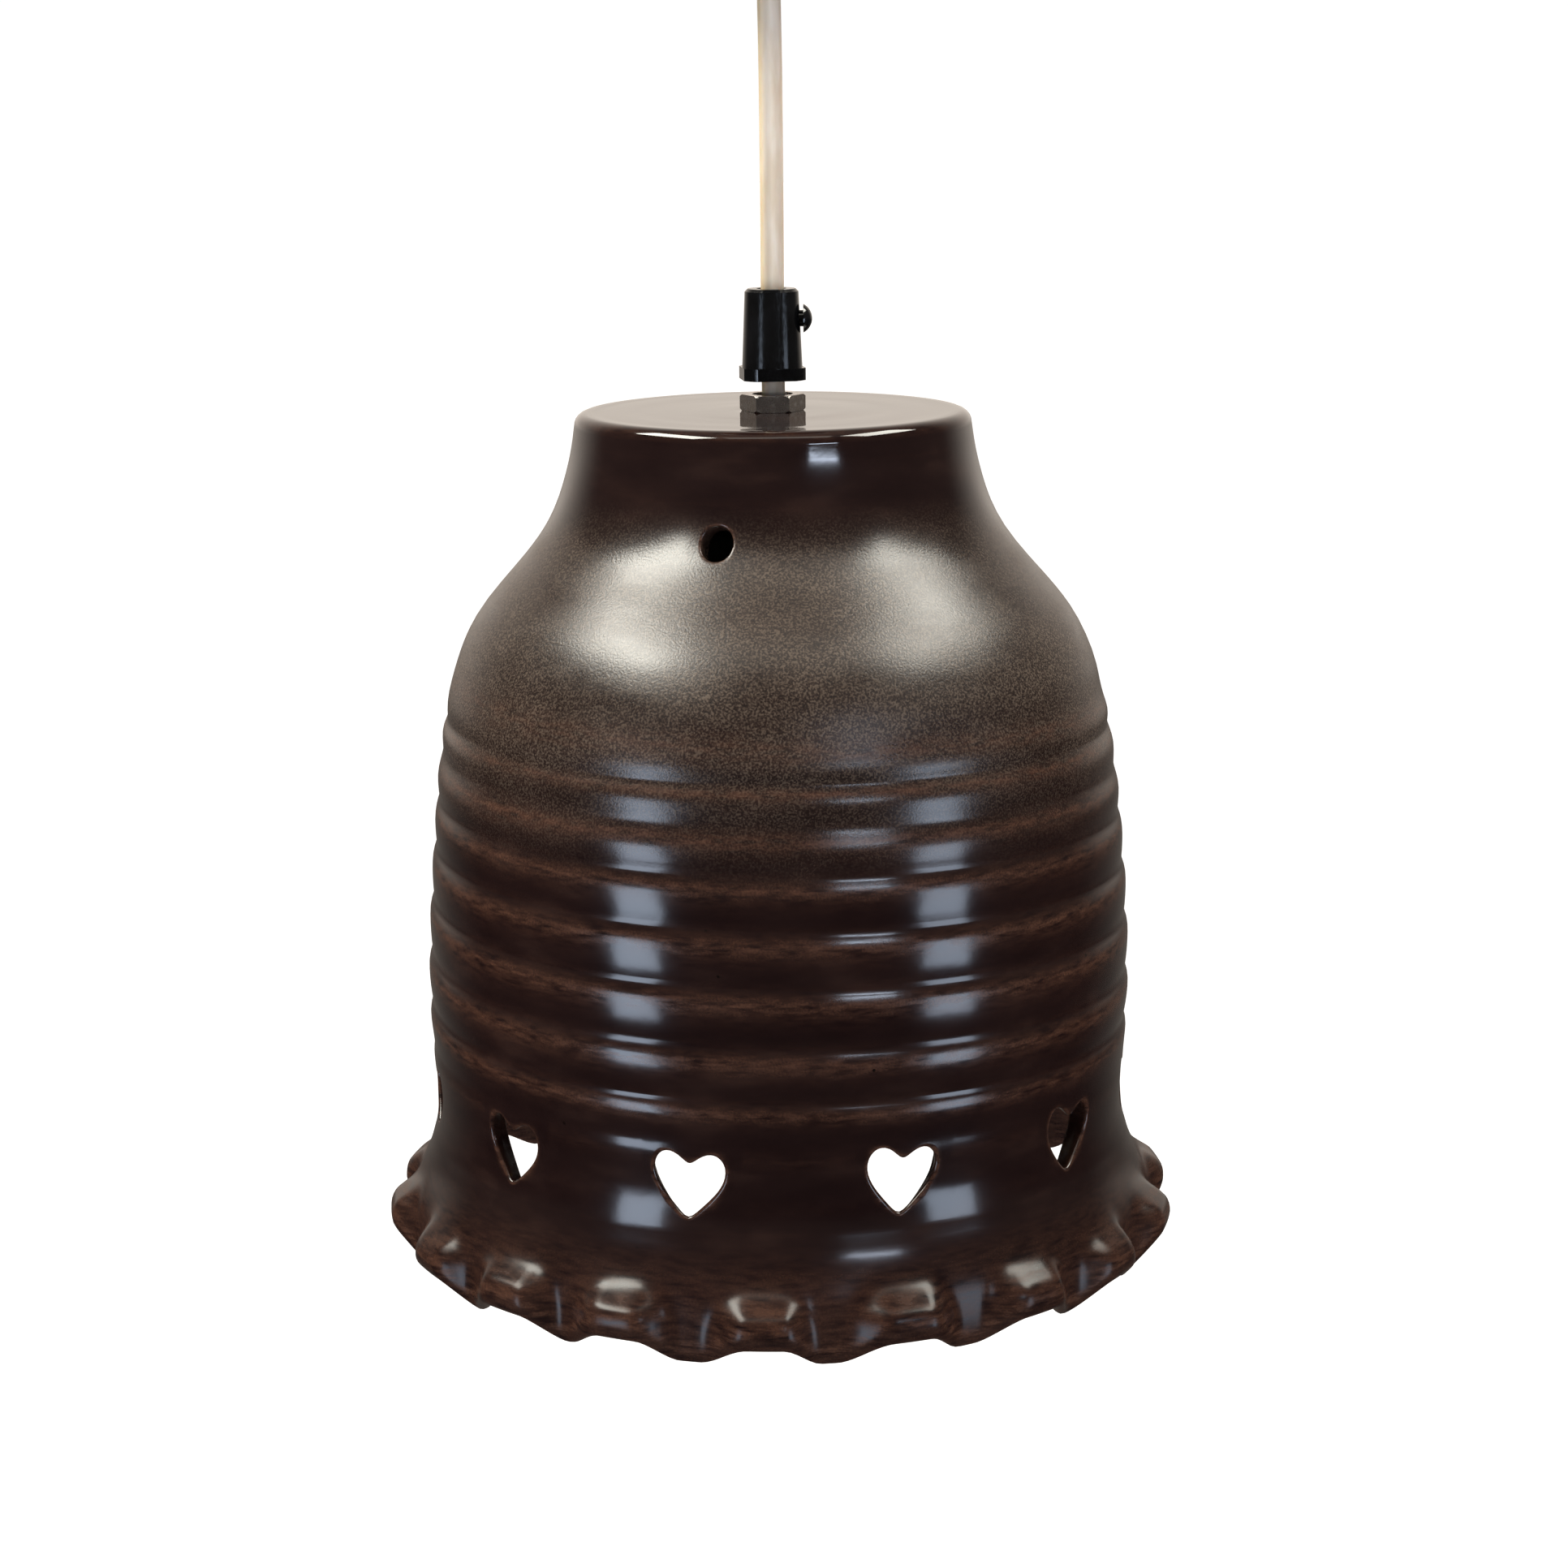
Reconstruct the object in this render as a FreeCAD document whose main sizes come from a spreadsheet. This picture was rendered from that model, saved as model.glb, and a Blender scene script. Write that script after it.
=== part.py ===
"""Stoneware pendant lamp: a thrown bell shade on a flat flex, held under a small ceiling canopy.

Millimetres, +Z up, the front faces -Y.  The origin is the middle of the ceiling bracket's top
face, where the lamp is screwed up; everything hangs below it.
"""
import FreeCAD, Part
import math
import os
import re
import Sketcher

App = FreeCAD
doc = App.newDocument("PendantLamp")

# ---------------------------------------------------------------- driving dimensions
SIZES = {
    # stoneware shade, depths measured down from its flat top
    "shade_height": 211.5, "shade_wall": 5.5, "plate_radius": 48.8, "plate_round": 3.0,
    "plate_thickness": 7.0, "neck_arc": 56.0, "neck_foot_radius": 66.0, "neck_foot_depth": 40.0,
    "neck_foot_lean": 44.0, "shoulder_arc": 78.0, "shoulder_radius": 84.6,
    "shoulder_depth": 85.0, "barrel_arc": 400.0, "waist_radius": 87.6, "flare_height": 33.0,
    "flare_arc": 62.0, "rim_radius": 95.5, "rim_thickness": 6.5, "rim_round": 2.8,
    "lobe_count": 18, "lobe_radius": 94.0, "lobe_stand": 6.5, "lobe_half_width": 12.0,
    "lobe_half_height": 9.0, "lobe_lift": 10.0, "lobe_turn": -2.3, "arch_radius": 16.0,
    "arch_rise": 4.2,
    "heart_count": 11, "heart_width": 18.6, "heart_height": 17.2, "heart_dip": 3.2,
    "heart_lobe": 5.0, "heart_side": 20.0, "heart_lift": 41.5, "heart_turn": 19.2,
    "vent_count": 3, "vent_radius": 4.3, "vent_depth": 25.0, "vent_turn": -14.0,
    # lamp thread and its nuts and washers
    "thread_radius": 5.0, "nipple_bore": 3.8, "nipple_sink": 1.0, "nipple_grip": 8.0,
    "nut_flats": 14.0, "nut_height": 4.0, "nut_chamfer": 0.5, "hole_play": 0.3,
    "fibre_radius": 13.0, "fibre_thickness": 1.5, "steel_radius": 12.0, "steel_thickness": 1.2,
    # E27 lampholder
    "cap_radius": 20.0, "cap_height": 30.0, "cap_wall": 2.2, "cap_boss_radius": 9.0,
    "cap_shoulder": 6.0, "grub_radius": 1.5, "grub_drop": 1.8, "insert_radius": 16.6,
    "insert_height": 16.0, "insert_lift": 5.0, "insert_play": 0.3, "post_radius": 2.6,
    "post_reach": 9.5, "post_height": 3.0, "skirt_height": 33.0, "skirt_ledge": 1.4,
    "skirt_step": 2.0, "shell_inset": 2.3, "shell_wall": 0.4, "shell_height": 20.0, "tongue_width": 6.0,
    "tongue_length": 18.0, "tongue_thickness": 0.5, "tongue_drop": 2.0,
    # lamp bulb
    "bulb_length": 106.0, "bulb_radius": 30.0, "bulb_neck": 14.6, "bulb_glass": 0.8,
    "bulb_play": 0.7, "bulb_cap_height": 22.0, "bulb_cap_wall": 0.3, "tip_radius": 4.5,
    "tip_height": 1.4, "tip_margin": 1.0, "insulator_height": 3.0, "insulator_ledge": 2.0,
    "throat_drop": 1.0, "neck_drop": 4.0, "flank_arc": 90.0, "contact_gap": 0.3,
    "stem_radius": 5.0, "stem_length": 22.0, "filament_radius": 0.9,
    "filament_length": 36.0, "filament_spread": 9.0, "filament_count": 4, "filament_gap": 1.0,
    # flat two-core flex
    "flex_width": 5.7, "flex_thickness": 3.4, "core_radius": 1.0, "core_spread": 1.35,
    "core_straight": 0.36, "core_turn": 7.7, "flex_play": 0.5, "flex_sway": 0.3,
    "body_gap": 0.3, "cord_free": 102.0,
    # cord grip on the flex
    "grip_gap": 3.6, "grip_height": 22.0, "grip_foot_radius": 7.4, "grip_top_radius": 6.6,
    "grip_flange_flats": 15.2, "grip_flange_corner": 8.9, "grip_flange_height": 3.0,
    "grip_flange_turn": 8.0, "grip_bevel": 0.7,
    "grip_screw_lift": 14.7, "grip_screw_radius": 2.0, "grip_screw_play": 0.1,
    "grip_head_radius": 3.5, "grip_head_height": 2.2, "grip_head_gap": 0.3,
    "grip_head_root": 0.1, "grip_tip_length": 1.0, "thrust_gap": 0.2, "grip_slot_width": 1.0,
    "grip_slot_depth": 0.8,
    # ceiling canopy and what it covers
    "canopy_radius": 44.0, "canopy_height": 52.0, "canopy_wall": 2.2, "canopy_gap": 1.0,
    "canopy_straight": 30.0, "canopy_flat": 18.0, "canopy_arc": 34.0, "bush_radius": 8.8,
    "bush_drop": 6.0, "bush_bore": 3.7, "bush_mouth": 7.4, "bush_neck": 9.0,
    "outlet_nut_height": 3.0, "bracket_length": 80.0, "bracket_width": 18.0,
    "bracket_thickness": 2.0, "bracket_screw_spacing": 60.0, "bracket_hole": 2.3,
    "lug_length": 14.0, "side_screw_drop": 9.0, "side_screw_radius": 2.0,
    "side_head_radius": 3.6, "side_head_height": 2.0, "tab_width": 22.0, "tab_length": 36.0,
    "tail_top": 20.0, "saddle_drop": 24.0, "saddle_height": 8.0, "saddle_thickness": 2.0,
    "clamp_screw_spread": 7.5, "clamp_screw_radius": 1.5, "clamp_head_radius": 2.8,
    "clamp_head_height": 1.8, "block_start": 14.0, "block_length": 20.0, "block_depth": 17.0,
    "block_back": 2.0, "block_height": 12.0, "block_pitch": 6.0, "block_first": 3.0,
    "block_screw_radius": 1.6, "block_screw_inset": 5.0, "block_screw_sink": 1.0,
    "block_bore": 1.4, "block_bore_length": 8.0, "block_bore_drop": 4.8,
    # how far a cutting tool runs past a face, and the flex tail's room over the swing
    "overcut": 1.0, "swing_room": 1.2,
}

sheet = doc.addObject("Spreadsheet::Sheet", "Sizes")
for row, (alias, size) in enumerate(SIZES.items(), start=1):
    sheet.set(f"A{row}", alias)
    sheet.set(f"B{row}", str(size))
    sheet.setAlias(f"B{row}", alias)
doc.recompute()


def sized(formula):
    """The formula with each size's name pointed at its cell."""
    return re.sub(r"[a-z][a-z_]+", lambda found: "Sizes." + found[0] if found[0] in SIZES
                  else found[0], str(formula))


def value(formula):
    """The number that a formula gives now."""
    return float(App.Units.Quantity(sheet.evalExpression(sized(formula))).Value)


def bind(item, **formulas):
    """Tie properties to formulas; a double underscore stands for a dot."""
    for name, formula in formulas.items():
        item.setExpression(name.replace("__", "."), sized(formula))
    return item


def place(item, lift="0", along="0", across="0", spin=None, axis=(0, 0, 1)):
    """Put a sub-part at its height, side and depth, turned by spin about an axis."""
    if spin is not None:
        item.Placement = App.Placement(App.Vector(), App.Rotation(App.Vector(*axis), 1.0))
        bind(item, Placement__Rotation__Angle=spin)
    return bind(item, Placement__Base__x=along, Placement__Base__y=across,
                Placement__Base__z=lift)


# ---------------------------------------------------------------- heights, top to bottom
CANOPY_FLOOR = "-canopy_height"
PIVOT = CANOPY_FLOOR
SHADE_TOP = "(-canopy_height - bush_drop - cord_free)"
NUT_TOP = f"({SHADE_TOP} + nut_height)"
NIPPLE_TOP = f"({NUT_TOP} - nipple_sink)"
GRIP_FOOT = f"({NUT_TOP} + grip_gap)"
PLATE_UNDER = f"({SHADE_TOP} - plate_thickness)"
FIBRE_UNDER = f"({PLATE_UNDER} - fibre_thickness)"
STEEL_UNDER = f"({FIBRE_UNDER} - steel_thickness)"
CAP_TOP = f"({STEEL_UNDER} - nut_height)"
NIPPLE_END = f"({CAP_TOP} - nipple_grip)"
CAP_FOOT = f"({CAP_TOP} - cap_height)"
INSERT_TOP = f"({CAP_FOOT} + insert_lift)"
INSERT_FOOT = f"({INSERT_TOP} - insert_height)"
TONGUE_TIP = f"({INSERT_FOOT} - tongue_drop - tongue_thickness)"
BULB_TOP = f"({TONGUE_TIP} - contact_gap)"
# The shell is let into the insert's foot, and the bulb's cap turns in the shell.
SHELL_RADIUS = "(insert_radius - shell_inset - shell_wall)"
BULB_CAP_RADIUS = f"({SHELL_RADIUS} - bulb_play)"

nodes = []


def keep(item, label):
    """Register a finished sub-part under its node name."""
    item.Label = label
    nodes.append(item)
    return item


# ---------------------------------------------------------------- sketches and bodies
def new_body(label):
    """A PartDesign body kept as one node."""
    return keep(doc.addObject("PartDesign::Body", label), label)


def origin_plane(body, role):
    """One of a body's own origin planes."""
    return next(item for item in body.Origin.OriginFeatures if item.Role == role)


def new_sketch(body, name, role="XZ_Plane"):
    """A sketch on one of the body's own planes."""
    drawing = body.newObject("Sketcher::SketchObject", name)
    drawing.AttachmentSupport = (origin_plane(body, role), [""])
    drawing.MapMode = "FlatFace"
    return drawing


def pin_point(drawing, geometry, end, across, up):
    """Tie one end of a line or arc to its two coordinates."""
    for kind, axis, formula in (("DistanceX", -2, across), ("DistanceY", -1, up)):
        if str(formula) == "0":
            drawing.addConstraint(Sketcher.Constraint("PointOnObject", geometry, end, axis))
            continue
        index = drawing.addConstraint(
            Sketcher.Constraint(kind, -1, 1, geometry, end, value(formula)))
        drawing.setExpression(f"Constraints[{index}]", sized(formula))


def draw_outline(drawing, corners):
    """A closed outline.  A corner is (across, up), or (across, up, radius, side) where an arc
    of that radius leads to it, with its centre to the left or right of the way travelled."""
    ends = []
    count = len(corners)
    for index, corner in enumerate(corners):
        start = App.Vector(value(corners[index - 1][0]), value(corners[index - 1][1]), 0)
        stop = App.Vector(value(corner[0]), value(corner[1]), 0)
        if len(corner) == 2:
            geometry = drawing.addGeometry(Part.LineSegment(start, stop), False)
            ends.append((geometry, 1, 2))
            continue
        radius, turn = value(corner[2]), 1 if corner[3] == "left" else -1
        chord = stop - start
        side = App.Vector(-chord.y, chord.x, 0).normalize()
        reach = math.sqrt(radius ** 2 - (chord.Length / 2) ** 2)
        centre = (start + stop) * 0.5 + side * (turn * reach)
        angles = [math.atan2(p.y - centre.y, p.x - centre.x) for p in (start, stop)]
        if turn < 0:
            angles.reverse()
        circle = Part.Circle(centre, App.Vector(0, 0, 1), radius)
        geometry = drawing.addGeometry(Part.ArcOfCircle(circle, *angles), False)
        ends.append((geometry, 1, 2) if turn > 0 else (geometry, 2, 1))
        number = drawing.addConstraint(Sketcher.Constraint("Radius", geometry, radius))
        drawing.setExpression(f"Constraints[{number}]", sized(corner[2]))
    for index, (geometry, _, last) in enumerate(ends):
        following, first, _ = ends[(index + 1) % count]
        drawing.addConstraint(Sketcher.Constraint("Coincident", geometry, last, following, first))
        pin_point(drawing, geometry, last, corners[index][0], corners[index][1])
    return drawing


def turned(label, corners):
    """A body turned about its own Z axis from an outline of (radius, height) corners."""
    body = new_body(label)
    outline = draw_outline(new_sketch(body, label + "_outline"), corners)
    turn = body.newObject("PartDesign::Revolution", label + "_turn")
    turn.Profile = outline
    turn.ReferenceAxis = (outline, ["V_Axis"])
    turn.Angle = 360
    doc.recompute()
    return body


def ring_pattern(body, feature, count, name):
    """Repeat a feature round the body's Z axis."""
    pattern = body.newObject("PartDesign::PolarPattern", name)
    pattern.Originals = [feature]
    pattern.Axis = (origin_plane_axis(body), [""])
    pattern.Angle = 360
    bind(pattern, Occurrences=count)
    body.Tip = pattern
    doc.recompute()
    return pattern


def origin_plane_axis(body):
    """The body's own Z axis."""
    return next(item for item in body.Origin.OriginFeatures if item.Role == "Z_Axis")


def cut_through(body, drawing, name, length):
    """A pocket from the body's middle out through its front wall, checked to remove metal."""
    before = body.Shape.Volume
    pocket = body.newObject("PartDesign::Pocket", name)
    pocket.Profile = drawing
    pocket.Reversed = True
    bind(pocket, Length=length)
    doc.recompute()
    if body.Shape.Volume >= before - 1.0:
        raise RuntimeError(name + " cut nothing")
    return pocket


def turn_sketch(drawing, angle):
    """Turn an upright sketch about the lamp's axis."""
    drawing.AttachmentOffset = App.Placement(
        App.Vector(), App.Rotation(App.Vector(0, 1, 0), 1.0))
    bind(drawing, AttachmentOffset__Rotation__Angle=angle)
    return drawing


# ---------------------------------------------------------------- primitives
made = 0


def primitive(kind, **formulas):
    """A Part primitive whose sizes are tied to the sheet."""
    global made
    made += 1
    return bind(doc.addObject("Part::" + kind, f"{kind.lower()}_{made}"), **formulas)


def box(length, width, height, x, y, z):
    """A block from its lowest corner."""
    return primitive("Box", Length=length, Width=width, Height=height,
                     Placement__Base__x=x, Placement__Base__y=y, Placement__Base__z=z)


def rod(radius, height, x="0", y="0", z="0", axis=None):
    """A cylinder; axis "x" or "y" lays it along that way from its start point."""
    item = primitive("Cylinder", Radius=radius, Height=height,
                     Placement__Base__x=x, Placement__Base__y=y, Placement__Base__z=z)
    if axis == "x":
        item.Placement.Rotation = App.Rotation(App.Vector(0, 1, 0), 90)
    if axis == "y":
        item.Placement.Rotation = App.Rotation(App.Vector(1, 0, 0), -90)
    return item


def through(radius, height):
    """An upright rod that runs past both faces of a piece standing on its own origin."""
    return rod(radius, f"{height} + 2 * overcut", z="-overcut")


def joined(items):
    """Several solids as one."""
    global made
    made += 1
    fused = doc.addObject("Part::MultiFuse", f"join_{made}")
    fused.Shapes = items
    return fused


def less(base, tools):
    """A solid with others cut out of it."""
    global made
    made += 1
    cut = doc.addObject("Part::Cut", f"cut_{made}")
    cut.Base = base
    cut.Tool = tools[0] if len(tools) == 1 else joined(tools)
    return cut


def grouped(items):
    """Identical fasteners that share one node, as separate solids."""
    global made
    made += 1
    group = doc.addObject("Part::Compound", f"group_{made}")
    group.Links = items
    return group


def hex_nut(height, bore):
    """A hexagon nut on its lower face, with a corner to +X and its edges bevelled."""
    block = primitive("Prism", Circumradius="nut_flats / 2 / cos(30 deg)", Height=height)
    block.Polygon = 6
    corner = "nut_flats / 2 / cos(30 deg)"
    lower = primitive("Cone", Radius1=f"{corner} - nut_chamfer", Radius2=f"{corner} + {height}",
                      Height=f"{height} + nut_chamfer")
    upper = primitive("Cone", Radius1=f"{corner} + {height}", Radius2=f"{corner} - nut_chamfer",
                      Height=f"{height} + nut_chamfer", Placement__Base__z="-nut_chamfer")
    both = doc.addObject("Part::MultiCommon", f"bevel_{made}")
    both.Shapes = [block, lower, upper]
    return less(both, [through(bore, height)])


def flat_section(width, thickness, centre, along):
    """A wire round a flat flex: two straight sides and two round ends, square to along."""
    half, radius = (width - thickness) / 2, thickness / 2
    side = App.Vector(0, 1, 0)
    wide = side.cross(along).normalize()
    corners = [(half, -radius), (half + radius, 0), (half, radius),
               (-half, radius), (-half - radius, 0), (-half, -radius)]
    points = [centre + wide * across + side * deep for across, deep in corners]
    edges = [Part.Arc(points[0], points[1], points[2]).toShape(),
             Part.LineSegment(points[2], points[3]).toShape(),
             Part.Arc(points[3], points[4], points[5]).toShape(),
             Part.LineSegment(points[5], points[0]).toShape()]
    return Part.Wire(edges)


ROUND_SHARE = 0.45


def rounded_route(name, points, diameter):
    """Straight runs joined by tangent arcs, each taking this share of its shorter run."""
    points = [App.Vector(*point) for point in points]
    edges, start = [], points[0]
    for before, corner, after in zip(points, points[1:], points[2:]):
        into, out = corner - before, after - corner
        half_turn = into.getAngle(out) / 2
        reach = ROUND_SHARE * min(into.Length, out.Length)
        radius = reach / math.tan(half_turn)
        print(f"{name}: turn {math.degrees(2 * half_turn):.1f} deg, radius {radius:.1f} mm, "
              f"{radius / diameter:.1f} diameters")
        first = corner - into.normalize() * reach
        last = corner + out.normalize() * reach
        inward = (first + last) * 0.5 - corner
        away = radius / math.cos(half_turn) - radius
        middle = corner + inward.normalize() * away
        edges.append(Part.LineSegment(start, first).toShape())
        edges.append(Part.Arc(first, middle, last).toShape())
        start = last
    edges.append(Part.LineSegment(start, points[-1]).toShape())
    return Part.Wire(edges)


def swept(label, points, width, thickness):
    """A flex or core carried along its route, its volume checked against its length."""
    route = rounded_route(label, points, width)
    first = route.Edges[0]
    along = first.tangentAt(first.FirstParameter)
    start = App.Vector(*points[0])
    if width > thickness:
        section = flat_section(width, thickness, start, along)
    else:
        section = Part.Wire([Part.Circle(start, along, width / 2).toShape()])
    solid = route.makePipeShell([section], True, False)
    area = Part.Face(section).Area
    print(f"{label}: length {route.Length:.1f} mm, volume {solid.Volume:.1f}, "
          f"section x length {area * route.Length:.1f}")
    if abs(solid.Volume / (area * route.Length) - 1) > 0.02:
        raise RuntimeError(label + " volume differs from its section times its length")
    item = doc.addObject("Part::Feature", label)
    item.Shape = solid
    item.Placement = App.Placement()
    return keep(item, label)


def straight_flex(label, top, length):
    """A straight stretch of the flat flex, hanging from its top face."""
    middle = box("flex_width - flex_thickness", "flex_thickness", length,
                 "-(flex_width - flex_thickness) / 2", "-flex_thickness / 2", f"-({length})")
    ends = [rod("flex_thickness / 2", length, x=f"{sign}(flex_width - flex_thickness) / 2",
                z=f"-({length})") for sign in ("-", "")]
    return place(keep(joined([middle] + ends), label), top)


# ---------------------------------------------------------------- the stoneware shade
def stoneware_shade():
    """Flat top, concave neck, round shoulder, barrel, and a flared rim pinched into lobes."""
    top, foot = "0", "-shade_height"
    waist = "-(shade_height - flare_height)"
    body = turned("stoneware_shade", [
        ("thread_radius + hole_play", top),
        ("plate_radius - plate_round", top),
        ("plate_radius", "-plate_round", "plate_round", "right"),
        ("neck_foot_radius", "-neck_foot_depth", "neck_arc", "left"),
        ("shoulder_radius", "-shoulder_depth", "shoulder_arc", "right"),
        ("waist_radius", waist, "barrel_arc", "right"),
        ("rim_radius", "-shade_height + rim_round", "flare_arc", "left"),
        ("rim_radius - rim_round", foot, "rim_round", "right"),
        ("rim_radius - rim_thickness", foot),
        ("waist_radius - shade_wall", waist, "flare_arc + shade_wall", "right"),
        ("shoulder_radius - shade_wall", "-shoulder_depth", "barrel_arc - shade_wall", "left"),
        ("neck_foot_radius - shade_wall * cos(neck_foot_lean * 1 deg)",
         "-neck_foot_depth - shade_wall * sin(neck_foot_lean * 1 deg)",
         "shoulder_arc - shade_wall", "left"),
        ("plate_radius - shade_wall", "-plate_thickness - shade_wall",
         "neck_arc + shade_wall", "right"),
        ("plate_radius - shade_wall * 2", "-plate_thickness", "shade_wall", "left"),
        ("thread_radius + hole_play", "-plate_thickness"),
    ])
    rim_lobes(body)
    heart_openings(body)
    vent_holes(body)
    return place(body, SHADE_TOP)


def rim_lobes(body):
    """Lobes pushed outwards round the rim, each with its lower edge lifted into an arch."""
    lobe = body.newObject("PartDesign::AdditiveEllipsoid", "rim_lobe")
    lobe.AttachmentSupport = (origin_plane(body, "XY_Plane"), [""])
    lobe.MapMode = "FlatFace"
    lobe.AttachmentOffset = App.Placement(
        App.Vector(), App.Rotation(App.Vector(0, 0, 1), 1.0))
    bind(lobe, Radius1="lobe_half_height", Radius2="lobe_half_width", Radius3="lobe_stand",
         AttachmentOffset__Rotation__Angle="lobe_turn",
         AttachmentOffset__Base__x="lobe_radius * sin(lobe_turn * 1 deg)",
         AttachmentOffset__Base__y="-lobe_radius * cos(lobe_turn * 1 deg)",
         AttachmentOffset__Base__z="-shade_height + lobe_lift")
    doc.recompute()
    ring_pattern(body, lobe, "lobe_count", "rim_lobes")
    arch = turn_sketch(new_sketch(body, "rim_arch_outline"), "lobe_turn")
    centre = App.Vector(0, -value("shade_height + arch_radius - arch_rise"), 0)
    circle = arch.addGeometry(Part.Circle(centre, App.Vector(0, 0, 1), value("arch_radius")), False)
    radius = arch.addConstraint(Sketcher.Constraint("Radius", circle, value("arch_radius")))
    arch.setExpression(f"Constraints[{radius}]", sized("arch_radius"))
    pin_point(arch, circle, 3, "0", "-(shade_height + arch_radius - arch_rise)")
    pocket = cut_through(body, arch, "rim_arch", "rim_radius * 2")
    ring_pattern(body, pocket, "lobe_count", "rim_arches")


def heart_openings(body):
    """A row of hearts cut through the wall just above the flare."""
    top = "-shade_height + heart_lift + heart_height / 2"
    tip = "-shade_height + heart_lift - heart_height / 2"
    side = f"{top} - heart_lobe"
    heart = turn_sketch(new_sketch(body, "heart_outline"), "heart_turn")
    draw_outline(heart, [
        ("0", tip, "heart_side", "left"),
        ("heart_width / 2", side, "heart_side", "left"),
        ("heart_width / 4", top, "heart_lobe", "left"),
        ("0", f"{top} - heart_dip", "heart_lobe", "left"),
        ("-heart_width / 4", top, "heart_lobe", "left"),
        ("-heart_width / 2", side, "heart_lobe", "left"),
    ])
    pocket = cut_through(body, heart, "heart", "rim_radius * 2")
    ring_pattern(body, pocket, "heart_count", "hearts")


def vent_holes(body):
    """Round holes in the neck that let the lamp's warm air out."""
    drawing = turn_sketch(new_sketch(body, "vent_outline"), "vent_turn")
    centre = App.Vector(0, -value("vent_depth"), 0)
    circle = drawing.addGeometry(
        Part.Circle(centre, App.Vector(0, 0, 1), value("vent_radius")), False)
    radius = drawing.addConstraint(Sketcher.Constraint("Radius", circle, value("vent_radius")))
    drawing.setExpression(f"Constraints[{radius}]", sized("vent_radius"))
    pin_point(drawing, circle, 3, "0", "-vent_depth")
    pocket = cut_through(body, drawing, "vent", "rim_radius * 2")
    ring_pattern(body, pocket, "vent_count", "vents")


# ---------------------------------------------------------------- lamp thread, nuts and washers
def washer(label, radius, thickness, under):
    """A flat ring round the lamp thread."""
    ring = less(rod(radius, thickness), [through("thread_radius + hole_play", thickness)])
    return place(keep(ring, label), under)


def thread_parts():
    """The hollow threaded nipple through the shade's top, and what clamps the shade to it."""
    place(keep(hex_nut("nut_height", "thread_radius"), "top_nut"), SHADE_TOP)
    length = f"{NIPPLE_TOP} - {NIPPLE_END}"
    nipple = less(rod("thread_radius", length), [through("nipple_bore", length)])
    place(keep(nipple, "threaded_nipple"), NIPPLE_END)
    washer("fibre_washer", "fibre_radius", "fibre_thickness", FIBRE_UNDER)
    washer("steel_washer", "steel_radius", "steel_thickness", STEEL_UNDER)
    place(keep(hex_nut("nut_height", "thread_radius"), "inner_nut"), CAP_TOP)


# ---------------------------------------------------------------- the lampholder
def lampholder():
    """A three-piece screw lampholder: cap, porcelain insert with its contacts, and skirt."""
    boss = "-nipple_grip"
    turned("holder_cap", [
        ("thread_radius", "0"), ("cap_boss_radius", "0"),
        ("cap_boss_radius", "-cap_shoulder + cap_wall"),
        ("cap_radius", "-cap_shoulder - cap_radius + cap_boss_radius",
         "cap_radius - cap_boss_radius + cap_wall", "right"),
        ("cap_radius", "-cap_height"), ("cap_radius - cap_wall", "-cap_height"),
        ("cap_radius - cap_wall", "-cap_shoulder - cap_radius + cap_boss_radius"),
        ("cap_boss_radius", boss), ("thread_radius", boss),
    ])
    shell = nodes.pop()
    shell.Label = "holder_cap_turned"
    grub_height = "-grub_drop"
    hole = rod("grub_radius", "cap_radius", x="thread_radius", z=grub_height, axis="x")
    place(keep(less(shell, [hole]), "holder_cap"), CAP_TOP)
    grub = rod("grub_radius", "cap_boss_radius - thread_radius", axis="x")
    place(keep(grub, "holder_grub_screw"), f"{CAP_TOP} + {grub_height}", along="thread_radius")
    block = rod("insert_radius", "insert_height")
    posts = [rod("post_radius", "insert_height", x=f"{sign}post_reach", z="insert_height / 2")
             for sign in ("-", "")]
    place(keep(less(block, posts), "porcelain_insert"), INSERT_FOOT)
    screws = [rod("post_radius", "insert_height / 2 + post_height", x=f"{sign}post_reach")
              for sign in ("-", "")]
    place(keep(grouped(screws), "holder_terminals"), f"{INSERT_FOOT} + insert_height / 2")
    turned("holder_skirt", [
        ("cap_radius", "0"), ("cap_radius", "-skirt_height + skirt_step"),
        ("cap_radius - skirt_step", "-skirt_height"),
        ("insert_radius - skirt_ledge", "-skirt_height"),
        ("insert_radius - skirt_ledge", f"{INSERT_FOOT} - {CAP_FOOT}"),
        ("insert_radius + insert_play", f"{INSERT_FOOT} - {CAP_FOOT}"),
        ("insert_radius + insert_play", "0"),
    ])
    place(nodes[-1], CAP_FOOT)
    shell = less(rod(f"{SHELL_RADIUS} + shell_wall", "shell_height"),
                 [through(SHELL_RADIUS, "shell_height")])
    place(keep(shell, "screw_shell"), f"{INSERT_FOOT} - shell_height")
    pad = box("tongue_length", "tongue_width", "tongue_thickness", "-tongue_length / 2",
              "-tongue_width / 2", "0")
    foot = box("tongue_width / 2", "tongue_width", "tongue_drop + tongue_thickness",
               "-tongue_length / 2", "-tongue_width / 2", "0")
    place(keep(joined([pad, foot]), "centre_contact"), TONGUE_TIP)


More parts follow.
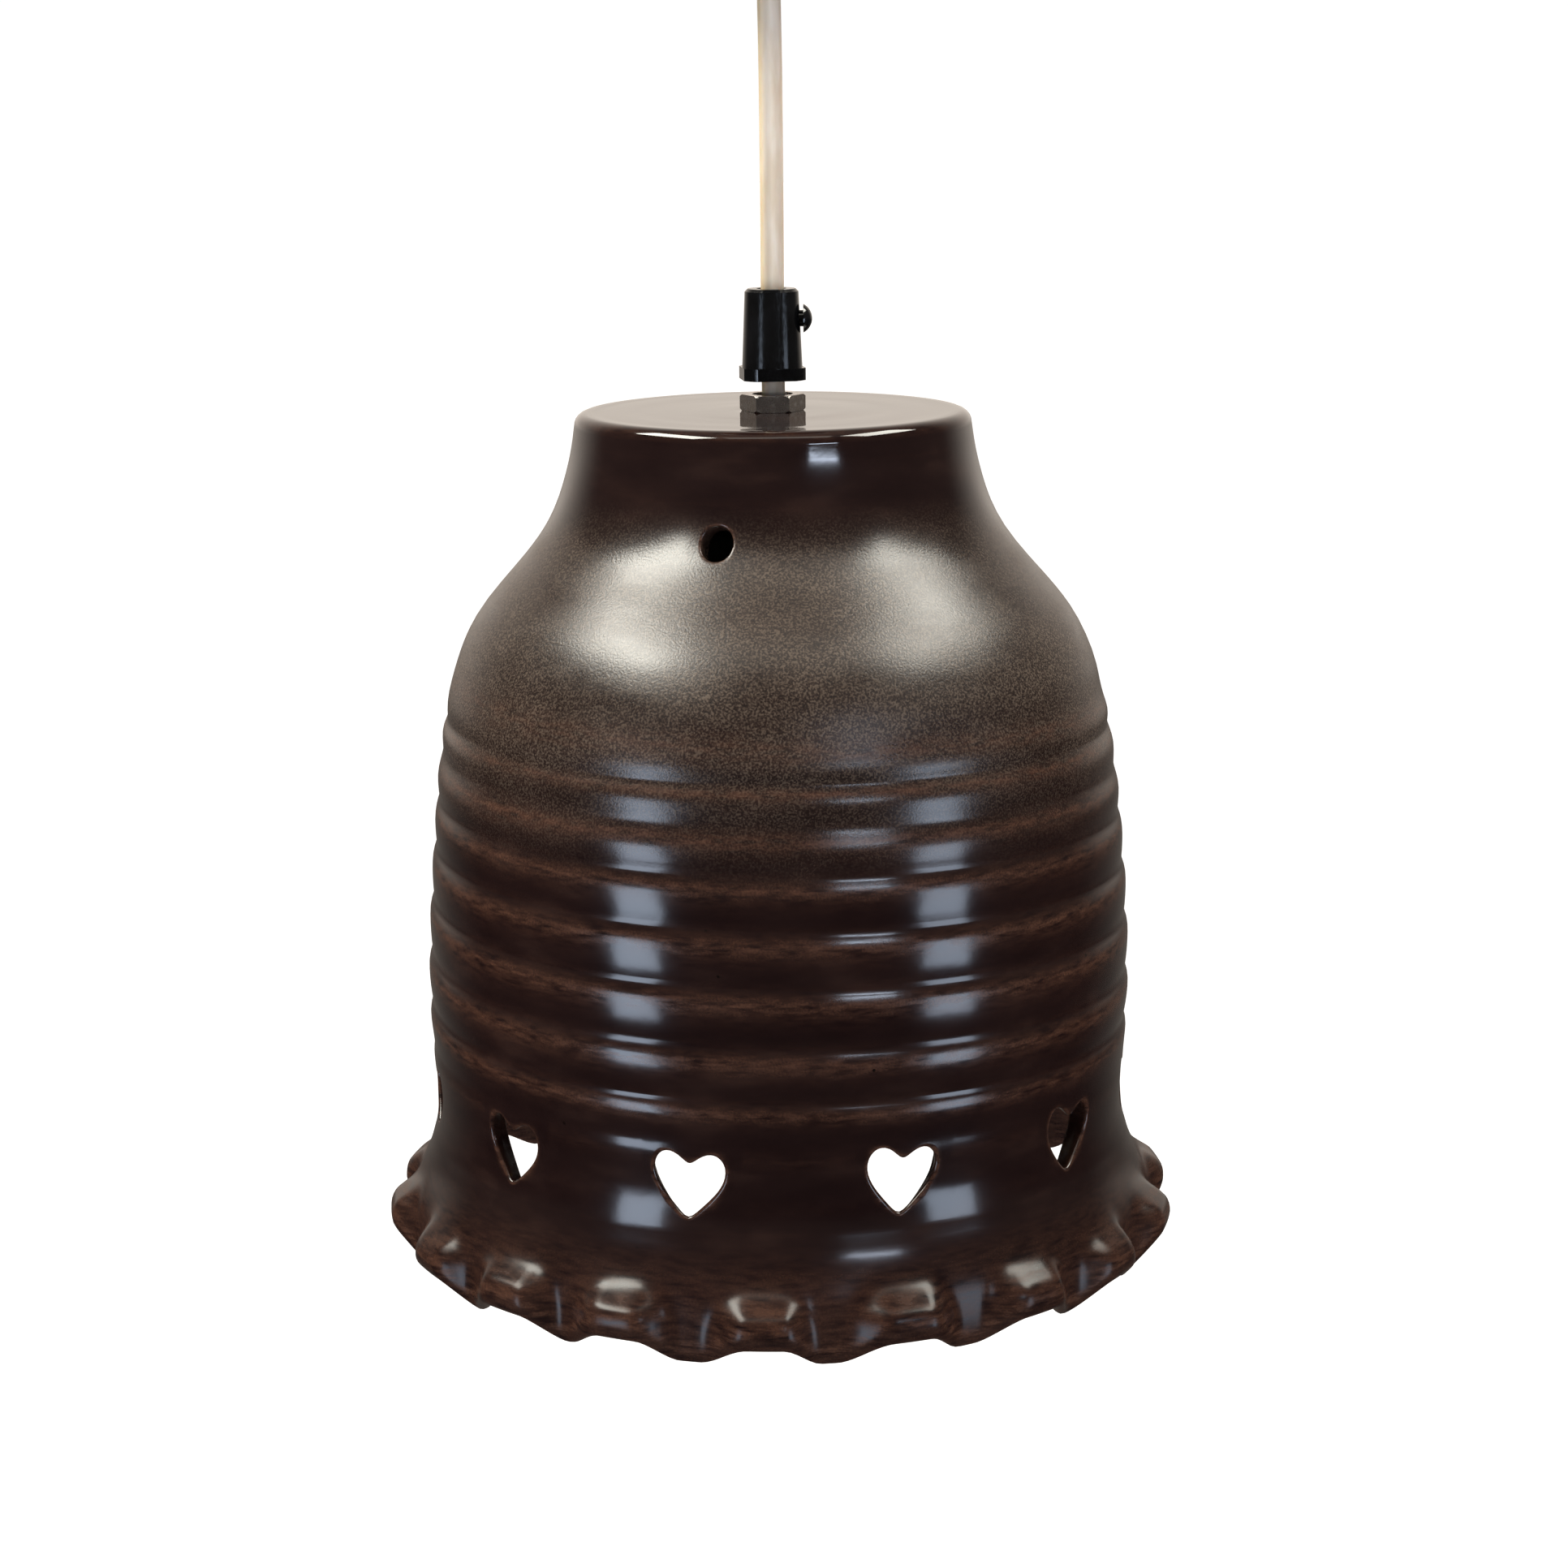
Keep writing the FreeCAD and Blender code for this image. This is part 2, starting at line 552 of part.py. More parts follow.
# ---------------------------------------------------------------- the bulb
def bulb():
    """A clear filament bulb: tip contact, insulator, screw cap, glass, stem and filaments."""
    place(keep(rod("tip_radius", "tip_height"), "bulb_tip"), f"{BULB_TOP} - tip_height")
    cap_top = f"({BULB_TOP} - tip_height - thrust_gap - insulator_height)"
    cap_foot = f"({cap_top} - bulb_cap_height)"
    insulator = primitive("Cone", Radius1=f"{BULB_CAP_RADIUS} - insulator_ledge",
                          Radius2="tip_radius + tip_margin", Height="insulator_height")
    place(keep(insulator, "bulb_insulator"), cap_top)
    cap = less(rod(BULB_CAP_RADIUS, "bulb_cap_height"),
               [rod(f"{BULB_CAP_RADIUS} - bulb_cap_wall * 2", "bulb_cap_height",
                    z="-bulb_cap_wall * 2")])
    place(keep(cap, "bulb_cap"), cap_foot)
    globe = "(bulb_radius + tip_height + insulator_height + bulb_cap_height - bulb_length)"
    neck = f"{BULB_CAP_RADIUS} - bulb_cap_wall * 2"
    turned("bulb_glass", [
        (neck, "bulb_cap_height / 2"),
        (neck, "-throat_drop"), ("bulb_neck", "-neck_drop"),
        ("bulb_radius", globe, "flank_arc", "left"),
        ("0", f"{globe} - bulb_radius", "bulb_radius", "right"),
        ("0", f"{globe} - bulb_radius + bulb_glass"),
        ("bulb_radius - bulb_glass", globe, "bulb_radius - bulb_glass", "left"),
        ("bulb_neck - bulb_glass", "-neck_drop", "flank_arc", "right"),
        (f"{neck} - bulb_glass", "-throat_drop"),
        (f"{neck} - bulb_glass", "bulb_cap_height / 2"),
    ])
    place(nodes[-1], cap_foot)
    stem = primitive("Cone", Radius1="stem_radius / 2", Radius2="stem_radius",
                     Height="stem_length + bulb_cap_height / 2")
    place(keep(stem, "bulb_stem"), f"{cap_foot} - stem_length")
    count = int(SIZES["filament_count"])
    filaments = []
    for index in range(count):
        turn = f"{index} * 360 / filament_count * 1 deg"
        filaments.append(rod("filament_radius", "filament_length",
                             x=f"filament_spread * cos({turn})",
                             y=f"filament_spread * sin({turn})"))
    place(keep(grouped(filaments), "bulb_filaments"),
          f"{cap_foot} - stem_length - filament_gap - filament_length")


# ---------------------------------------------------------------- flex and its cores
def free_flex():
    """The pulled-tight flex, with the slight set that its old bends left in it."""
    top, foot = value(PIVOT), value(NIPPLE_TOP)
    drop = foot - top
    sway = value("flex_sway")
    bends = ((0, 0), (0.8, 0.25), (1, 0.5), (-0.3, 0.75), (0.7, 1))
    points = [(aside * sway, 0, top + down * drop) for aside, down in bends]
    return swept("flex", points, value("flex_width"), value("flex_thickness"))


def holder_cores():
    """The flex's two cores, fanned out under the nipple to the lampholder's terminals."""
    top = value(f"{NIPPLE_END} - body_gap")
    foot = value(f"{INSERT_TOP} + post_height")
    reach, spread = value("post_reach"), value("core_spread")
    straight = value("core_straight") * (top - foot)
    for name, side in (("brown_core", 1), ("blue_core", -1)):
        points = [(side * spread, 0, top), (side * spread, 0, top - straight),
                  (side * reach, 0, foot + straight), (side * reach, 0, foot)]
        swept("holder_" + name, points, 2 * value("core_radius"), 2 * value("core_radius"))


def canopy_cores():
    """The two cores above the clamp, led across to the terminal block."""
    foot = value("-tail_top")
    entry_x, entry_z = value("block_start"), value("-bracket_thickness - block_bore_drop")
    for index, (name, side) in enumerate((("brown_core", 1), ("blue_core", -1))):
        entry_y = -value("block_first") - index * value("block_pitch")
        start = side * value("core_spread")
        points = [(start, 0, foot), (start, 0, (foot + entry_z) / 2),
                  (value("core_turn"), entry_y, entry_z), (entry_x, entry_y, entry_z)]
        swept("canopy_" + name, points, 2 * value("core_radius"), 2 * value("core_radius"))


# ---------------------------------------------------------------- cord grip on the flex
def cord_grip():
    """A moulded grip threaded on the flex, with a nylon-tipped clamping screw in its side."""
    bore = "flex_width / 2 + flex_sway + flex_play"
    turned("grip_turned", [
        (bore, "0"), ("grip_foot_radius", "0"), ("grip_foot_radius", "grip_flange_height"),
        ("grip_top_radius", "grip_height - grip_bevel"),
        ("grip_top_radius - grip_bevel", "grip_height"), (bore, "grip_height"),
    ])
    shell = nodes.pop()
    shell.Label = "grip_turned"
    square = place(box("grip_flange_flats", "grip_flange_flats", "grip_flange_height",
                       "0", "0", "0"), spin="grip_flange_turn")
    half = "grip_flange_flats / 2"
    bind(square,
         Placement__Base__x=f"-{half} * cos(grip_flange_turn * 1 deg)"
                            f" + {half} * sin(grip_flange_turn * 1 deg)",
         Placement__Base__y=f"-{half} * sin(grip_flange_turn * 1 deg)"
                            f" - {half} * cos(grip_flange_turn * 1 deg)")
    flange = doc.addObject("Part::MultiCommon", "grip_flange")
    flange.Shapes = [square, rod("grip_flange_corner", "grip_flange_height")]
    ring = less(flange, [through(bore, "grip_flange_height")])
    screw_hole = rod("grip_screw_radius + grip_screw_play", "grip_flange_flats",
                     z="grip_screw_lift", axis="x")
    place(keep(less(joined([shell, ring]), [screw_hole]), "cord_grip"), GRIP_FOOT)
    axis_height = f"{GRIP_FOOT} + grip_screw_lift"
    tip_start = "flex_width / 2 + flex_sway + body_gap"
    tip = rod("grip_screw_radius", "grip_tip_length", axis="x")
    place(keep(tip, "grip_screw_tip"), axis_height, along=tip_start)
    shank_start = f"{tip_start} + grip_tip_length + thrust_gap"
    head_start = "grip_foot_radius + grip_head_gap"
    shank = rod("grip_screw_radius", f"{head_start} - ({shank_start}) + grip_head_root",
                x=shank_start, axis="x")
    ball = "(grip_head_radius ^ 2 + grip_head_height ^ 2) / (2 * grip_head_height)"
    dome = primitive("Sphere", Radius=ball, Placement__Base__x=f"{head_start} - {ball} + "
                     "grip_head_height")
    disc = rod("grip_head_radius", "grip_head_height", x=head_start, axis="x")
    head = doc.addObject("Part::MultiCommon", "grip_head")
    head.Shapes = [dome, disc]
    slot = box("grip_slot_depth", "grip_slot_width", "grip_head_radius * 2",
               f"{head_start} + grip_head_height - grip_slot_depth", "-grip_slot_width / 2",
               "-grip_head_radius")
    place(keep(less(joined([shank, head]), [slot]), "grip_screw"), axis_height)


# ---------------------------------------------------------------- canopy and its fittings
def canopy():
    """A turned cup that hides the connection, closed round the outlet bush."""
    rim = "-canopy_gap"
    floor = "-canopy_height"
    turned("canopy_turned", [
        ("canopy_radius", rim), ("canopy_radius - canopy_wall", rim),
        ("canopy_radius - canopy_wall", "-canopy_straight"),
        ("canopy_flat", f"{floor} + canopy_wall", "canopy_arc", "right"),
        ("thread_radius", f"{floor} + canopy_wall"), ("thread_radius", floor),
        ("canopy_flat", floor),
        ("canopy_radius", "-canopy_straight", "canopy_arc + canopy_wall", "left"),
    ])
    shell = nodes.pop()
    shell.Label = "canopy_turned"
    holes = [rod("side_screw_radius", "bracket_length", x="-bracket_length / 2 - canopy_radius / 2",
                 z="-side_screw_drop", axis="x"),
             rod("side_screw_radius", "bracket_length", x="canopy_radius / 2",
                 z="-side_screw_drop", axis="x")]
    keep(less(shell, holes), "canopy")


def side_screws():
    """The two screws that hold the canopy's wall to the bracket's lugs."""
    screws = []
    for sign, head_x, shank_x in (
            ("+", "canopy_radius", "bracket_length / 2 - bracket_thickness"),
            ("-", "-canopy_radius - side_head_height", "-canopy_radius")):
        shank = rod("side_screw_radius",
                    "canopy_radius - bracket_length / 2 + bracket_thickness",
                    x=shank_x, z="-side_screw_drop", axis="x")
        head = rod("side_head_radius", "side_head_height", x=head_x, z="-side_screw_drop",
                   axis="x")
        screws.append(joined([shank, head]))
    keep(grouped(screws), "canopy_side_screws")


def bracket():
    """A pressed strap with two ceiling holes, a lug at each end and a tab for the flex clamp."""
    strap = box("bracket_length", "bracket_width", "bracket_thickness", "-bracket_length / 2",
                "-bracket_width / 2", "-bracket_thickness")
    lugs = [box("bracket_thickness", "bracket_width", "lug_length", start,
                "-bracket_width / 2", "-lug_length")
            for start in ("-bracket_length / 2", "bracket_length / 2 - bracket_thickness")]
    tab = box("tab_width", "bracket_thickness", "tab_length", "-tab_width / 2",
              "flex_thickness / 2", "-tab_length")
    holes = [rod("bracket_hole", "bracket_thickness + 2 * overcut",
                 x=f"{sign}bracket_screw_spacing / 2", z="-bracket_thickness - overcut")
             for sign in ("-", "")]
    lug_holes = [rod("side_screw_radius", "bracket_length + 2 * overcut",
                     x="-bracket_length / 2 - overcut", z="-side_screw_drop", axis="x")]
    middle = "-saddle_drop - saddle_height / 2"
    clamp_holes = [rod("clamp_screw_radius", "bracket_width", x=f"{sign}clamp_screw_spread",
                       y="0", z=middle, axis="y") for sign in ("-", "")]
    tab_cut = less(tab, clamp_holes)
    outer = less(joined([strap] + lugs), holes + lug_holes)
    keep(joined([outer, tab_cut]), "ceiling_bracket")


def flex_clamp():
    """A saddle screwed to the bracket's tab, which carries the lamp's weight on the flex."""
    front = "-flex_thickness / 2 - saddle_thickness"
    saddle = box("tab_width", "saddle_thickness", "saddle_height", "-tab_width / 2", front,
                 "-saddle_drop - saddle_height")
    middle = "-saddle_drop - saddle_height / 2"
    holes = [rod("clamp_screw_radius", "bracket_width", x=f"{sign}clamp_screw_spread",
                 y="-bracket_width / 2", z=middle, axis="y") for sign in ("-", "")]
    keep(less(saddle, holes), "clamp_saddle")
    screws = []
    for sign in ("-", ""):
        shank = rod("clamp_screw_radius",
                    "saddle_thickness + flex_thickness + bracket_thickness",
                    x=f"{sign}clamp_screw_spread", y=front, z=middle, axis="y")
        head = rod("clamp_head_radius", "clamp_head_height", x=f"{sign}clamp_screw_spread",
                   y=f"{front} - clamp_head_height", z=middle, axis="y")
        screws.append(joined([shank, head]))
    keep(grouped(screws), "clamp_screws")


def terminal_block():
    """A two-pole block under the strap, with a clamping screw at each wire's entry."""
    under = "-bracket_thickness"
    block = box("block_length", "block_depth", "block_height", "block_start",
                "block_back - block_depth", f"{under} - block_height")
    wells, screws = [], []
    for pole in range(2):
        across = f"-block_first - {pole} * block_pitch"
        for along in ("block_start + block_screw_inset",
                      "block_start + block_length - block_screw_inset"):
            wells.append(rod("block_screw_radius", "block_height / 2", x=along, y=across,
                             z=f"{under} - block_height - overcut"))
            screws.append(rod("block_screw_radius",
                              "block_height / 2 - overcut - block_screw_sink", x=along,
                              y=across, z=f"{under} - block_height + block_screw_sink"))
        wells.append(rod("block_bore", "block_bore_length + overcut", y=across,
                         x="block_start + block_length - block_bore_length",
                         z=f"{under} - block_bore_drop", axis="x"))
    keep(less(block, wells), "terminal_block")
    keep(grouped(screws), "block_screws")


def outlet():
    """The bell-mouthed bush that lets the flex swing without chafing, and its nut."""
    turned("outlet_bush", [
        ("bush_bore", "bush_neck"), ("bush_bore", "0"),
        ("bush_mouth", "-bush_drop"), ("bush_radius - grip_bevel", "-bush_drop"),
        ("bush_radius", "-bush_drop + grip_bevel"), ("bush_radius", "0"),
        ("thread_radius", "0"), ("thread_radius", "bush_neck"),
    ])
    place(nodes[-1], CANOPY_FLOOR)
    place(keep(hex_nut("outlet_nut_height", "thread_radius"), "outlet_nut"),
          f"{CANOPY_FLOOR} + canopy_wall")


stoneware_shade()
thread_parts()
lampholder()
bulb()
free_flex()
straight_flex("flex_in_nipple", f"{NIPPLE_TOP} - body_gap", f"{NIPPLE_TOP} - {NIPPLE_END}")
holder_cores()
cord_grip()
canopy()
side_screws()
bracket()
flex_clamp()
straight_flex("flex_tail", "-tail_top", "canopy_height - tail_top - swing_room")
canopy_cores()
terminal_block()
outlet()


# ---------------------------------------------------------------- checks and files
def check_document():
    """Every object computed, and every sub-part one or more sound closed solids."""
    doc.recompute()
    for item in doc.Objects:
        if "Invalid" in item.State or "Error" in item.State:
            raise RuntimeError(f"{item.Name} failed: {item.State}")
    for item in nodes:
        shape = item.Shape
        if shape.isNull() or not shape.isValid() or not shape.Solids:
            raise RuntimeError(f"{item.Label} has no sound solid")


def write_parts():
    """One STEP file for each sub-part, named for its node."""
    os.makedirs("parts", exist_ok=True)
    for item in nodes:
        item.Shape.exportStep(f"parts/{item.Label}.step")
        box_now = item.Shape.optimalBoundingBox(False)
        print(f"{item.Label}: {len(item.Shape.Solids)} solid(s), {item.Shape.Volume:.0f} mm3, "
              f"x {box_now.XMin:.1f}..{box_now.XMax:.1f} y {box_now.YMin:.1f}..{box_now.YMax:.1f} "
              f"z {box_now.ZMin:.1f}..{box_now.ZMax:.1f}")


check_document()
write_parts()
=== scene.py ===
"""A brown glazed stoneware pendant lamp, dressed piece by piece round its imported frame."""
import math

import bmesh
import bpy
import numpy as np
from mathutils import Matrix, Vector


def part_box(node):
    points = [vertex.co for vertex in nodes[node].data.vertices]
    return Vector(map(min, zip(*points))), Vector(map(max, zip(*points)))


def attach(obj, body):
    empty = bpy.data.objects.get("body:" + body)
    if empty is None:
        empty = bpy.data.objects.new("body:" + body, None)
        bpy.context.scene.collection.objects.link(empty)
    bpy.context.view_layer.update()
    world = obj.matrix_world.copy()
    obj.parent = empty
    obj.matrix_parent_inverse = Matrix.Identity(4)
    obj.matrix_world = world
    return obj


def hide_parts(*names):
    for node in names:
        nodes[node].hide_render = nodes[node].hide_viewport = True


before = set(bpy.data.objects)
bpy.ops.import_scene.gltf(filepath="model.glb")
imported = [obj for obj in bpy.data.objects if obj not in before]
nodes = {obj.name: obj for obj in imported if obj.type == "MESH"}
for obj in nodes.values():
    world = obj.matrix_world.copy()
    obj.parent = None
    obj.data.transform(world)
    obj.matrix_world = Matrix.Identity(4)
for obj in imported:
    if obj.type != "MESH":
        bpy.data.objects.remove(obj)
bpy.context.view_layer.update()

MM = 0.001

# ---------------------------------------------------------------- camera
# A lens of about 72 mm on a 36 mm sensor, a little above the shade and looking down on it.
# The lamp hangs a fraction of a degree out of upright in the view, so the camera rolls by it.
LENS_MM = 71.8
CAMERA_BACK = 0.770
CAMERA_ABOVE_PLATE = 0.0817
LOOK_DOWN_DEG = 12.88
LOOK_RIGHT_DEG = 0.134
ROLL_DEG = 0.6

plate_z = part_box("stoneware_shade")[1].z

camera = bpy.data.objects.new("camera", bpy.data.cameras.new("camera"))
bpy.context.scene.collection.objects.link(camera)
camera.data.lens = LENS_MM
camera.data.sensor_width = 36.0
camera.data.clip_end = 60.0
aim = (Matrix.Rotation(math.radians(-LOOK_RIGHT_DEG), 4, "Z")
       @ Matrix.Rotation(math.radians(90 - LOOK_DOWN_DEG), 4, "X")
       @ Matrix.Rotation(math.radians(-ROLL_DEG), 4, "Z"))
camera.matrix_world = Matrix.Translation((0, -CAMERA_BACK, plate_z + CAMERA_ABOVE_PLATE)) @ aim
bpy.context.scene.camera = camera

# ---------------------------------------------------------------- flex
# A flat two-core mains flex, 5.7 by 3.4 mm: two round cores side by side under one extruded
# sheath of clear-grey PVC, yellowed with age. It hangs straight, pulled tight by the lamp, from
# the canopy's outlet bush down through the grip into the lamp's threaded nipple.
FLEX_ROUTE_MM = [(0.0, 0.0, -52.0), (0.3, 0.0, -72.0), (0.34, 0.0, -94.0), (0.32, 0.0, -112.0),
                 (0.22, 0.0, -130.0), (0.2, 0.0, -146.0), (0.21, 0.0, -157.0)]
FLEX_WIDTH = 5.7
FLEX_THICKNESS = 3.4
FLEX_VALLEY = 0.16
FLEX_TURNS = 64


def linear(colour):
    """An sRGB hex colour as linear light with full opacity: each part v becomes v / 12.92 below
    0.04045 and ((v + 0.055) / 1.055) ** 2.4 above."""
    parts = np.array([int(colour[i:i + 2], 16) for i in (1, 3, 5)]) / 255
    parts = np.where(parts <= 0.04045, parts / 12.92, ((parts + 0.055) / 1.055) ** 2.4)
    return (*map(float, parts), 1.0)


def add(material, kind, links=(), **settings):
    """A node of this kind: settings go on the node or, where the name is a socket's, on it, and
    links are (socket name or number, the socket of another node that feeds it)."""
    node = material.node_tree.nodes.new("ShaderNode" + kind)
    for name, value in settings.items():
        if hasattr(node, name):
            setattr(node, name, value)
        else:
            node.inputs[name.replace("_", " ")].default_value = value
    for socket, source in links:
        material.node_tree.links.new(source, node.inputs[socket])
    return node


def maths(material, operation, first, second):
    """Two values put together by a Math node; the second may be a plain number."""
    node = add(material, "Math", [(0, first)], operation=operation)
    if isinstance(second, (int, float)):
        node.inputs[1].default_value = second
    else:
        material.node_tree.links.new(second, node.inputs[1])
    return node.outputs[0]


def new_material(name):
    """An empty node material and its Object coordinates."""
    material = bpy.data.materials.new(name)
    material.use_nodes = True
    material.node_tree.nodes.clear()
    return material, add(material, "TexCoord").outputs["Object"]


def finish_material(material, links=(), **settings):
    """Ends a material in a Principled shader with these constants and links."""
    shader = add(material, "BsdfPrincipled", links, **settings)
    add(material, "OutputMaterial", [("Surface", shader.outputs[0])])
    return material


def graded(material, source, *stops):
    """A colour ramp fed by source: stops are (place, hex colour)."""
    ramp = add(material, "ValToRGB", [(0, source)])
    while len(ramp.color_ramp.elements) < len(stops):
        ramp.color_ramp.elements.new(0.5)
    for element, (place, colour) in zip(ramp.color_ramp.elements, stops):
        element.position = place
        element.color = linear(colour)
    return ramp.outputs["Color"]


def pattern(material, at, size_mm, detail=2.0, stretch=(1, 1, 1), roughness=0.5):
    """Noise whose lumps are about size_mm across, drawn out along an axis by stretch."""
    scale = [1 / (size_mm * MM * pull) for pull in stretch]
    spread = add(material, "Mapping", [("Vector", at)], Scale=scale)
    return add(material, "TexNoise", [("Vector", spread.outputs[0])], Scale=1.0,
               Detail=detail, Roughness=roughness).outputs["Fac"]


def bumped(material, height, depth_mm, strength=1.0, under=None):
    """A normal pushed by height, which stands for depth_mm of relief."""
    links = [("Height", height)] + ([("Normal", under)] if under else [])
    return add(material, "Bump", links, Strength=strength, Distance=depth_mm * MM).outputs[0]


def solid_mesh(name, points, faces, smooth=True, attributes=()):
    """A mesh object at the origin from points in metres, with its faces turned outwards."""
    mesh = bpy.data.meshes.new(name)
    mesh.from_pydata(points.tolist(), [], [f for part in faces for f in part.tolist()])
    for label, values in attributes:
        mesh.attributes.new(label, "FLOAT", "POINT").data.foreach_set("value", values)
    turned = bmesh.new()
    turned.from_mesh(mesh)
    bmesh.ops.recalc_face_normals(turned, faces=turned.faces)
    turned.to_mesh(mesh)
    turned.free()
    mesh.shade_smooth() if smooth else mesh.shade_flat()
    piece = bpy.data.objects.new(name, mesh)
    bpy.context.scene.collection.objects.link(piece)
    return piece


def web(grid):
    """The quads between neighbouring rows and columns of an array of point numbers."""
    return np.stack([grid[:-1, :-1], grid[1:, :-1], grid[1:, 1:], grid[:-1, 1:]], -1).reshape(-1, 4)


def looped(grid):
    """The array of point numbers with its first column repeated, so that its rows close."""
    return np.concatenate([grid, grid[:, :1]], 1)


route = bpy.data.curves.new("flex_route", "CURVE")
route.dimensions = "3D"
route.resolution_u = 24
line = route.splines.new("NURBS")
line.points.add(len(FLEX_ROUTE_MM) - 1)
for knot, place in zip(line.points, FLEX_ROUTE_MM):
    knot.co = (*[MM * v for v in place], 1)
line.order_u = 3
line.use_endpoint_u = True
route_object = bpy.data.objects.new("flex_route", route)
bpy.context.scene.collection.objects.link(route_object)
bpy.context.view_layer.update()
read = bpy.data.meshes.new_from_object(route_object.evaluated_get(
    bpy.context.evaluated_depsgraph_get()))
flex_path = np.array([v.co for v in read.vertices])
bpy.data.objects.remove(route_object)

turn = np.arange(FLEX_TURNS) * math.tau / FLEX_TURNS
half_flat = (FLEX_WIDTH - FLEX_THICKNESS) / 2
across = half_flat * np.tanh(3 * np.cos(turn)) / np.tanh(3) + FLEX_THICKNESS / 2 * np.cos(turn)
valley = FLEX_VALLEY * np.exp(-(across / 0.9) ** 2)
deep = (FLEX_THICKNESS / 2 - valley) * np.sin(turn)
along = np.gradient(flex_path, axis=0)
along /= np.linalg.norm(along, axis=1, keepdims=True)
wide = np.cross([0.0, 1.0, 0.0], along)
wide /= np.linalg.norm(wide, axis=1, keepdims=True)
thick = np.cross(along, wide)
skin = (flex_path[:, None] + MM * (wide[:, None] * across[None, :, None]
                                   + thick[:, None] * deep[None, :, None]))
numbers = np.arange(skin[..., 0].size).reshape(skin.shape[:2])
ends = [numbers[:1], numbers[-1:]]
flex = solid_mesh("flex_sheath", skin.reshape(-1, 3), [web(looped(numbers)), *ends])

# Aged clear-grey PVC: the sheath lets a little light in, is yellower down its left edge from age
# and has a soft satin shine with faint drag lines from the extruder. Its colour across the width
# also carries a painted highlight, a lighter band just right of the middle, and painted shade
# darkening its right edge.
sheath, at = new_material("extruded_aged_pvc")
place = add(sheath, "SeparateXYZ", [(0, at)])
sideways = add(sheath, "MapRange", [("Value", place.outputs["X"])],
               From_Min=-FLEX_WIDTH / 2 * MM, From_Max=FLEX_WIDTH / 2 * MM)
# Colour across the width: a yellowed left edge, then a painted highlight band, then painted shade
# at the right edge.
yellowing_and_painted_sheen = graded(sheath, sideways.outputs[0], (0.0, "#c8b696"), (0.2, "#d0c0a8"), (0.36, "#cdc2b6"),
               (0.56, "#dcd2c8"), (0.74, "#d1c5ba"), (1.0, "#bfb0a2"))
grime = graded(sheath, pattern(sheath, at, 2.2, 4, (1, 1, 5)), (0.35, "#eee7dd"), (0.7, "#ffffff"))
colour = add(sheath, "Mix", [(6, yellowing_and_painted_sheen), (7, grime)], data_type="RGBA", blend_type="MULTIPLY",
             Factor=1.0)
drag = pattern(sheath, at, 0.35, 2, (1, 1, 40))
finish_material(sheath, [("Base Color", colour.outputs[2]),
                         ("Normal", bumped(sheath, drag, 0.03))],
                Roughness=0.42, IOR=1.53, Subsurface_Weight=0.15, Subsurface_Scale=0.0006)
flex.data.materials.append(sheath)
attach(flex, "flex")
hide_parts("flex")

# ---------------------------------------------------------------- stoneware shade
# A bell thrown on the wheel in brown-burning stoneware about 5.5 mm thick. The flat top was
# turned, a finger drawn down the turning wall left one long spiral of ribs, eleven hearts and
# three vents were cut through the leather-hard clay, and the rim was pushed out by finger into
# eighteen hoods. A dark iron glaze runs thin and rusty on every crest and edge.
WALL_MM = 5.5
PLATE_MM = 7.0
EDGE_ROUND = 3.0
HOLE_RADIUS = 5.3
COLUMNS = 396
ROWS_PER_TURN = 10
BODY_FOOT = 183.0
BODY_PROFILE = [(3.0, 48.85), (9.0, 49.8), (15.7, 51.45), (22.4, 53.75), (29.1, 57.3),
                (35.8, 62.4), (42.6, 68.4), (49.3, 73.7), (56.0, 77.4), (64.0, 80.4),
                (74.0, 82.8), (86.0, 84.8), (100.0, 86.3), (114.0, 87.5), (130.0, 88.5),
                (146.0, 88.8), (160.0, 88.2), (171.0, 87.6), (177.0, 87.7), (183.0, 89.0),
                (190.0, 91.8)]
# Where the spiral row of the grid has come to after so many turns. The nine from 4.75 to 12.75
# are the finger's crests as they pass the front.
SPIRAL = [(0.0, 5.6), (0.5, 6.2), (1.0, 7.6), (1.5, 13.0), (2.0, 23.0), (2.6, 38.5), (3.2, 55.0),
          (3.75, 68.2), (4.75, 77.9), (5.75, 88.8), (6.75, 99.9), (7.75, 112.9), (8.75, 126.4),
          (9.75, 140.4), (10.75, 152.7), (11.75, 163.8), (12.75, 175.4), (13.25, 179.6),
          (13.75, 181.2), (14.25, 181.9), (14.8, 182.4)]
# A rib from groove to groove: how far down it, how far the clay stands out on an upper, soft
# rib and on a lower one, steep on top with a long fall, and how rusty it is there.
RIB_SECTION = [(0.0, 0.0, 0.0, 0.1), (0.06, 0.02, 0.05, 0.1), (0.13, 0.09, 0.30, 0.25),
               (0.21, 0.22, 0.60, 0.6), (0.3, 0.38, 0.76, 1.0), (0.42, 0.58, 0.76, 0.5),
               (0.56, 0.66, 0.66, 0.15), (0.7, 0.52, 0.50, 0.05), (0.84, 0.27, 0.30, 0.0),
               (0.94, 0.07, 0.11, 0.05), (1.0, 0.0, 0.0, 0.1)]
SEAM = -160.8


